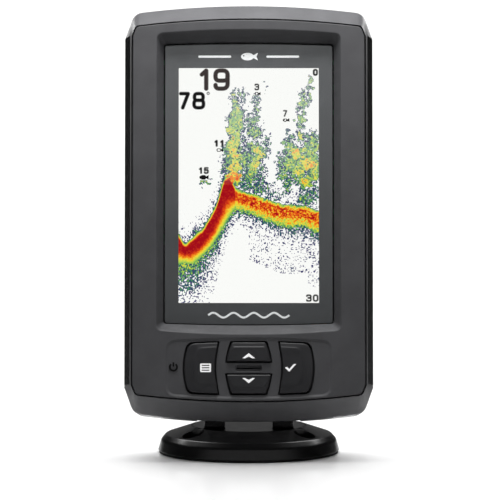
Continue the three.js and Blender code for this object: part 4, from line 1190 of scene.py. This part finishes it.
def base_shell():
    profile = soft_polygon([
        (19.5, PAD_THICKNESS, 0.1), (BASE_RADIUS - 0.1, PAD_THICKNESS, 0.25), (34.75, 5.4, 0.8),
        (32.9, 7.4, 0.45), (DISC_RADIUS + 0.2, DISC_TOP, 0.15), (DISC_RADIUS + 0.2, DISC_SEAT, 0.1),
        (SPIGOT_RADIUS + 0.3, DISC_SEAT, 0.1), (SPIGOT_RADIUS + 0.3, 5.2, 0.1), (19.5, 5.2, 0.1),
    ], 5)
    mesh = turned(profile, 160, closed=True)
    tools = []
    for x, y in BASE_HOLES:
        for radius, low in ((2.6, -1), (4.3, 4.5)):
            tool = rod(radius, low, 12)
            tool.transform(Matrix.Translation((x, y, 0)))
            tools.append(tool)
    part("base_shell", tidy(cut(mesh, *tools), 0.1), "base", "gloss_black", ["base_plate"],
         bevel=0.25, sharp=35, segments=2)


def arm_profile(inset):
    """The arm seen from the side, as (y, z): a round head on a foot that widens downwards."""
    lean = atan((ARM_FOOT - ARM_RADIUS) / TILT_HEIGHT)
    radius = ARM_RADIUS - inset
    foot = ARM_FOOT - inset
    steps = 40
    arc = [(radius * cos(a), TILT_HEIGHT + radius * sin(a))
           for a in (lean + (pi - 2 * lean) * i / steps for i in range(steps + 1))]
    return [(foot, DISC_TOP - 1.2), *arc, (-foot, DISC_TOP - 1.2)]


def arm(side):
    """One upright arm, with rounded edges and a small fillet where it stands on the disc."""
    edge = rounding(0.7, 4)
    stations = [(ARM_INNER + across, inset) for inset, across in edge]
    stations += [(ARM_OUTER - across, inset) for inset, across in reversed(edge)]
    body = loft([[(side * x, y, z) for y, z in arm_profile(inset)] for x, inset in stations])

    fillet, sink = 0.9, 0.02
    middle, half = side * (ARM_OUTER + ARM_INNER) / 2, (ARM_OUTER - ARM_INNER) / 2

    def foot(out, height, reach):
        wide, deep = half + out, ARM_FOOT + out
        ring = soft_rectangle(middle - wide, middle + wide, -deep, deep, reach)
        return [(x, y, height) for x, y in ring]

    flare = [foot(out - sink, DISC_TOP + up, 0.5 + out - sink) for out, up in rounding(fillet, 5)]
    return join(body, loft([foot(fillet, DISC_TOP - 0.5, 1.4), *flare]))


def drum_along_x(radius, left, right, sides=48):
    mesh = rod(radius, left, right, sides)
    mesh.transform(Matrix.Translation((0, 0, TILT_HEIGHT)) @ Matrix.Rotation(pi / 2, 4, "Y"))
    return mesh


def turret():
    disc_edge = DISC_RADIUS - 0.1
    disc = turned([
        (AXIS, 3.6), (SPIGOT_RADIUS, 3.6), (SPIGOT_RADIUS, DISC_SEAT + GAP), (disc_edge, DISC_SEAT + GAP),
        *[(disc_edge - inwards, DISC_TOP - down) for down, inwards in rounding(0.4, 4)],
        (AXIS, DISC_TOP),
    ], 160)
    solid = cut(
        join(disc, arm(-1), arm(1)),
        drum_along_x(BOLT_HOLE, -30, 30),
        drum_along_x(4.8, -30, -ARM_OUTER + 3.6),
        drum_along_x(4.9, ARM_OUTER - 4, ARM_OUTER + 2, 6),
    )
    part("turret_shell", tidy(solid, 0.1), "turret", "gloss_black", ["swivel_turret"],
         bevel=0.2, sharp=42, segments=2)


# CAD nodes that stay

def dress_nodes():
    """Gives every CAD node that is still shown its finish and soft edges."""
    for row in frame["record"]["subparts"]:
        node = frame["nodes"][row["node"]]
        node.data.materials.clear()
        node.data.materials.append(LOOKS[row["material_slot"]])
        if node.hide_render:
            continue
        weld = node.modifiers.new("weld", "WELD")
        weld.merge_threshold = 0.001 * MM
        flat = node.modifiers.new("flat", "DECIMATE")
        flat.decimate_type = "DISSOLVE"
        flat.angle_limit = radians(0.5)
        bevel_edges(node, 0.12, 2, 40)


# Studio

def floor():
    """White to the camera. Away from the object it throws little light back."""
    half = 4.0
    mesh = bpy.data.meshes.new("floor")
    corners = [(-half, -half, 0), (half, -half, 0), (half, half, 0), (-half, half, 0)]
    mesh.from_pydata(corners, [], [(0, 1, 2, 3)])
    made = placed("floor", mesh)
    s = Shader("floor")
    tone = s.blend(s.noise(120, 1), rgba((247, 247, 247)), rgba((250, 250, 250)))
    apart = s.node("VectorMath", {0: s.position}, operation="LENGTH").outputs["Value"]
    near = s.spread(apart, 0.9, 0.04, 0.1, 0.2, "SMOOTHSTEP")
    matt = s.node("BsdfDiffuse", {"Color": s.blend(s.seen(), near, tone)})
    sheen = s.node("BsdfGlossy", {"Color": (0.7, 0.7, 0.7, 1), "Roughness": 0.12})
    mesh.materials.append(s.surface(s.node("AddShader", {0: matt.outputs[0], 1: sheen.outputs[0]})))
    return made


def studio_world():
    """White all round to the camera. As light, it is bright overhead and behind, and dark in front."""
    s = Shader("studio", bpy.data.worlds, "OutputWorld", "Generated")
    bpy.context.scene.world = s.owner
    axes = s.node("SeparateXYZ", {0: s.position}).outputs
    overhead = s.spread(axes["Z"], 0.0, WORLD_TOP, 0.35, 0.95, "SMOOTHSTEP")
    narrow = s.spread(s.math("ABSOLUTE", axes["X"]), WORLD_BACK, 0.0, 0.2, 0.42, "SMOOTHSTEP")
    behind = s.math("MULTIPLY", s.spread(axes["Y"], 0.0, 1.0, 0.2, 0.8, "SMOOTHSTEP"), narrow)
    in_front = s.spread(axes["Y"], WORLD_FRONT, WORLD_SIDE, -0.9, -0.2, "SMOOTHSTEP")
    total = s.math("ADD", s.math("ADD", overhead, behind), in_front)
    lit = s.node("Background", {"Strength": total})
    white = s.node("Background", {"Color": (1, 1, 1, 1), "Strength": 1.0})
    s.surface(s.node("MixShader", {"Fac": s.seen(), 1: lit.outputs[0], 2: white.outputs[0]}))


def choose(name, objects, state):
    chosen = bpy.data.collections.new(name)
    for i, obj in enumerate(objects):
        chosen.objects.link(obj)
        chosen.collection_objects[i].light_linking.link_state = state
    return chosen


def lamp(name, place, target, size, power, state, lit, casters=()):
    """A softbox that lights only the objects `lit`, or with the state EXCLUDE all but them.

    Where `casters` are given, only they throw a shadow in it.
    """
    data = bpy.data.lights.new(name, "AREA")
    data.shape = "RECTANGLE"
    data.size, data.size_y = size
    data.energy = power
    made = placed(name, data)
    aim(made, place, Vector(target) - Vector(place))
    made.light_linking.receiver_collection = choose(name + "_reach", lit, state)
    if casters:
        made.light_linking.blocker_collection = choose(name + "_casters", casters, "INCLUDE")


def floor_sun(name, ground, energy, angle, tilt, casters):
    """A soft sun from behind that lights the floor only. Only `casters` throw a shadow in it."""
    data = bpy.data.lights.new(name, "SUN")
    data.energy = energy
    data.angle = radians(angle)
    sun = placed(name, data)
    sun.rotation_euler = (radians(-tilt), 0, 0)
    sun.light_linking.receiver_collection = choose(name + "_reach", [ground], "INCLUDE")
    sun.light_linking.blocker_collection = choose(name + "_casters", casters, "INCLUDE")


def lights(ground):
    """A softbox close over the head, a weaker one in front of it, and the floor's two suns.

    Lamps from behind brighten the case's slanting corners and the base's shoulder, and one in front its edge.
    """
    names = ("base_shell", "turret_shell", "rear_case", "grip_left", "grip_right")
    base, turret_shell, case, *grips = [bpy.data.objects[name] for name in names]
    lamp("overhead", (0, -0.03, 0.37), (0, -0.005, 0.15), (0.16, 0.14), 1.5, "EXCLUDE", [ground, base])
    lamp("front_fill", (0, -0.2, 0.32), (0, 0, 0.19), (0.2, 0.1), 0.38, "EXCLUDE", [ground, base, *grips])
    for name, side in (("left", -1), ("right", 1)):
        lamp("base_" + name, (side * 0.26, 0.18, 0.36), (side * 0.02, -0.02, 0.007), (0.22, 0.22), 1.2,
             "INCLUDE", [base], [base])
        lamp("corner_" + name, (side * 0.32, 0.55, 0.29), (side * 0.047, 0.02, 0.165), (0.2, 0.12), 1.2,
             "INCLUDE", [case])
    lamp("base_front", (0, -0.4, 0.18), (0, 0, 0.005), (2.4, 0.15), 0.75, "INCLUDE", [base])
    floor_sun("floor_sun_high", ground, 2.85, 58, 26, [base, turret_shell, case])
    floor_sun("floor_sun_low", ground, 1.3, 50, 50, [base])


def camera():
    """A long lens a little above the object, as for a catalogue."""
    data = bpy.data.cameras.new("camera")
    data.lens = 435.5
    data.sensor_width = 36
    data.clip_start = 0.1
    data.clip_end = 50
    made = placed("camera", data)
    back = Vector((0, -cos(CAMERA_LIFT), sin(CAMERA_LIFT)))
    aim(made, CAMERA_AIM * MM + back * CAMERA_DISTANCE, -back)
    bpy.context.scene.camera = made


front_bezel()
rear_housing()
side_grip("grip_right", 1, "side_grip_right")
side_grip("grip_left", -1, "side_grip_left")
display_lens()
lens_mask()
lcd_picture()
keys()
icons()
generic_marks()
panel_socket("power_inlet", -1, 2, ["power_socket"])
panel_socket("transducer_inlet", 1, 5, ["transducer_socket"])
base_shell()
turret()
dress_nodes()

ground = floor()
studio_world()
lights(ground)
camera()
bpy.context.scene.view_settings.view_transform = "Standard"
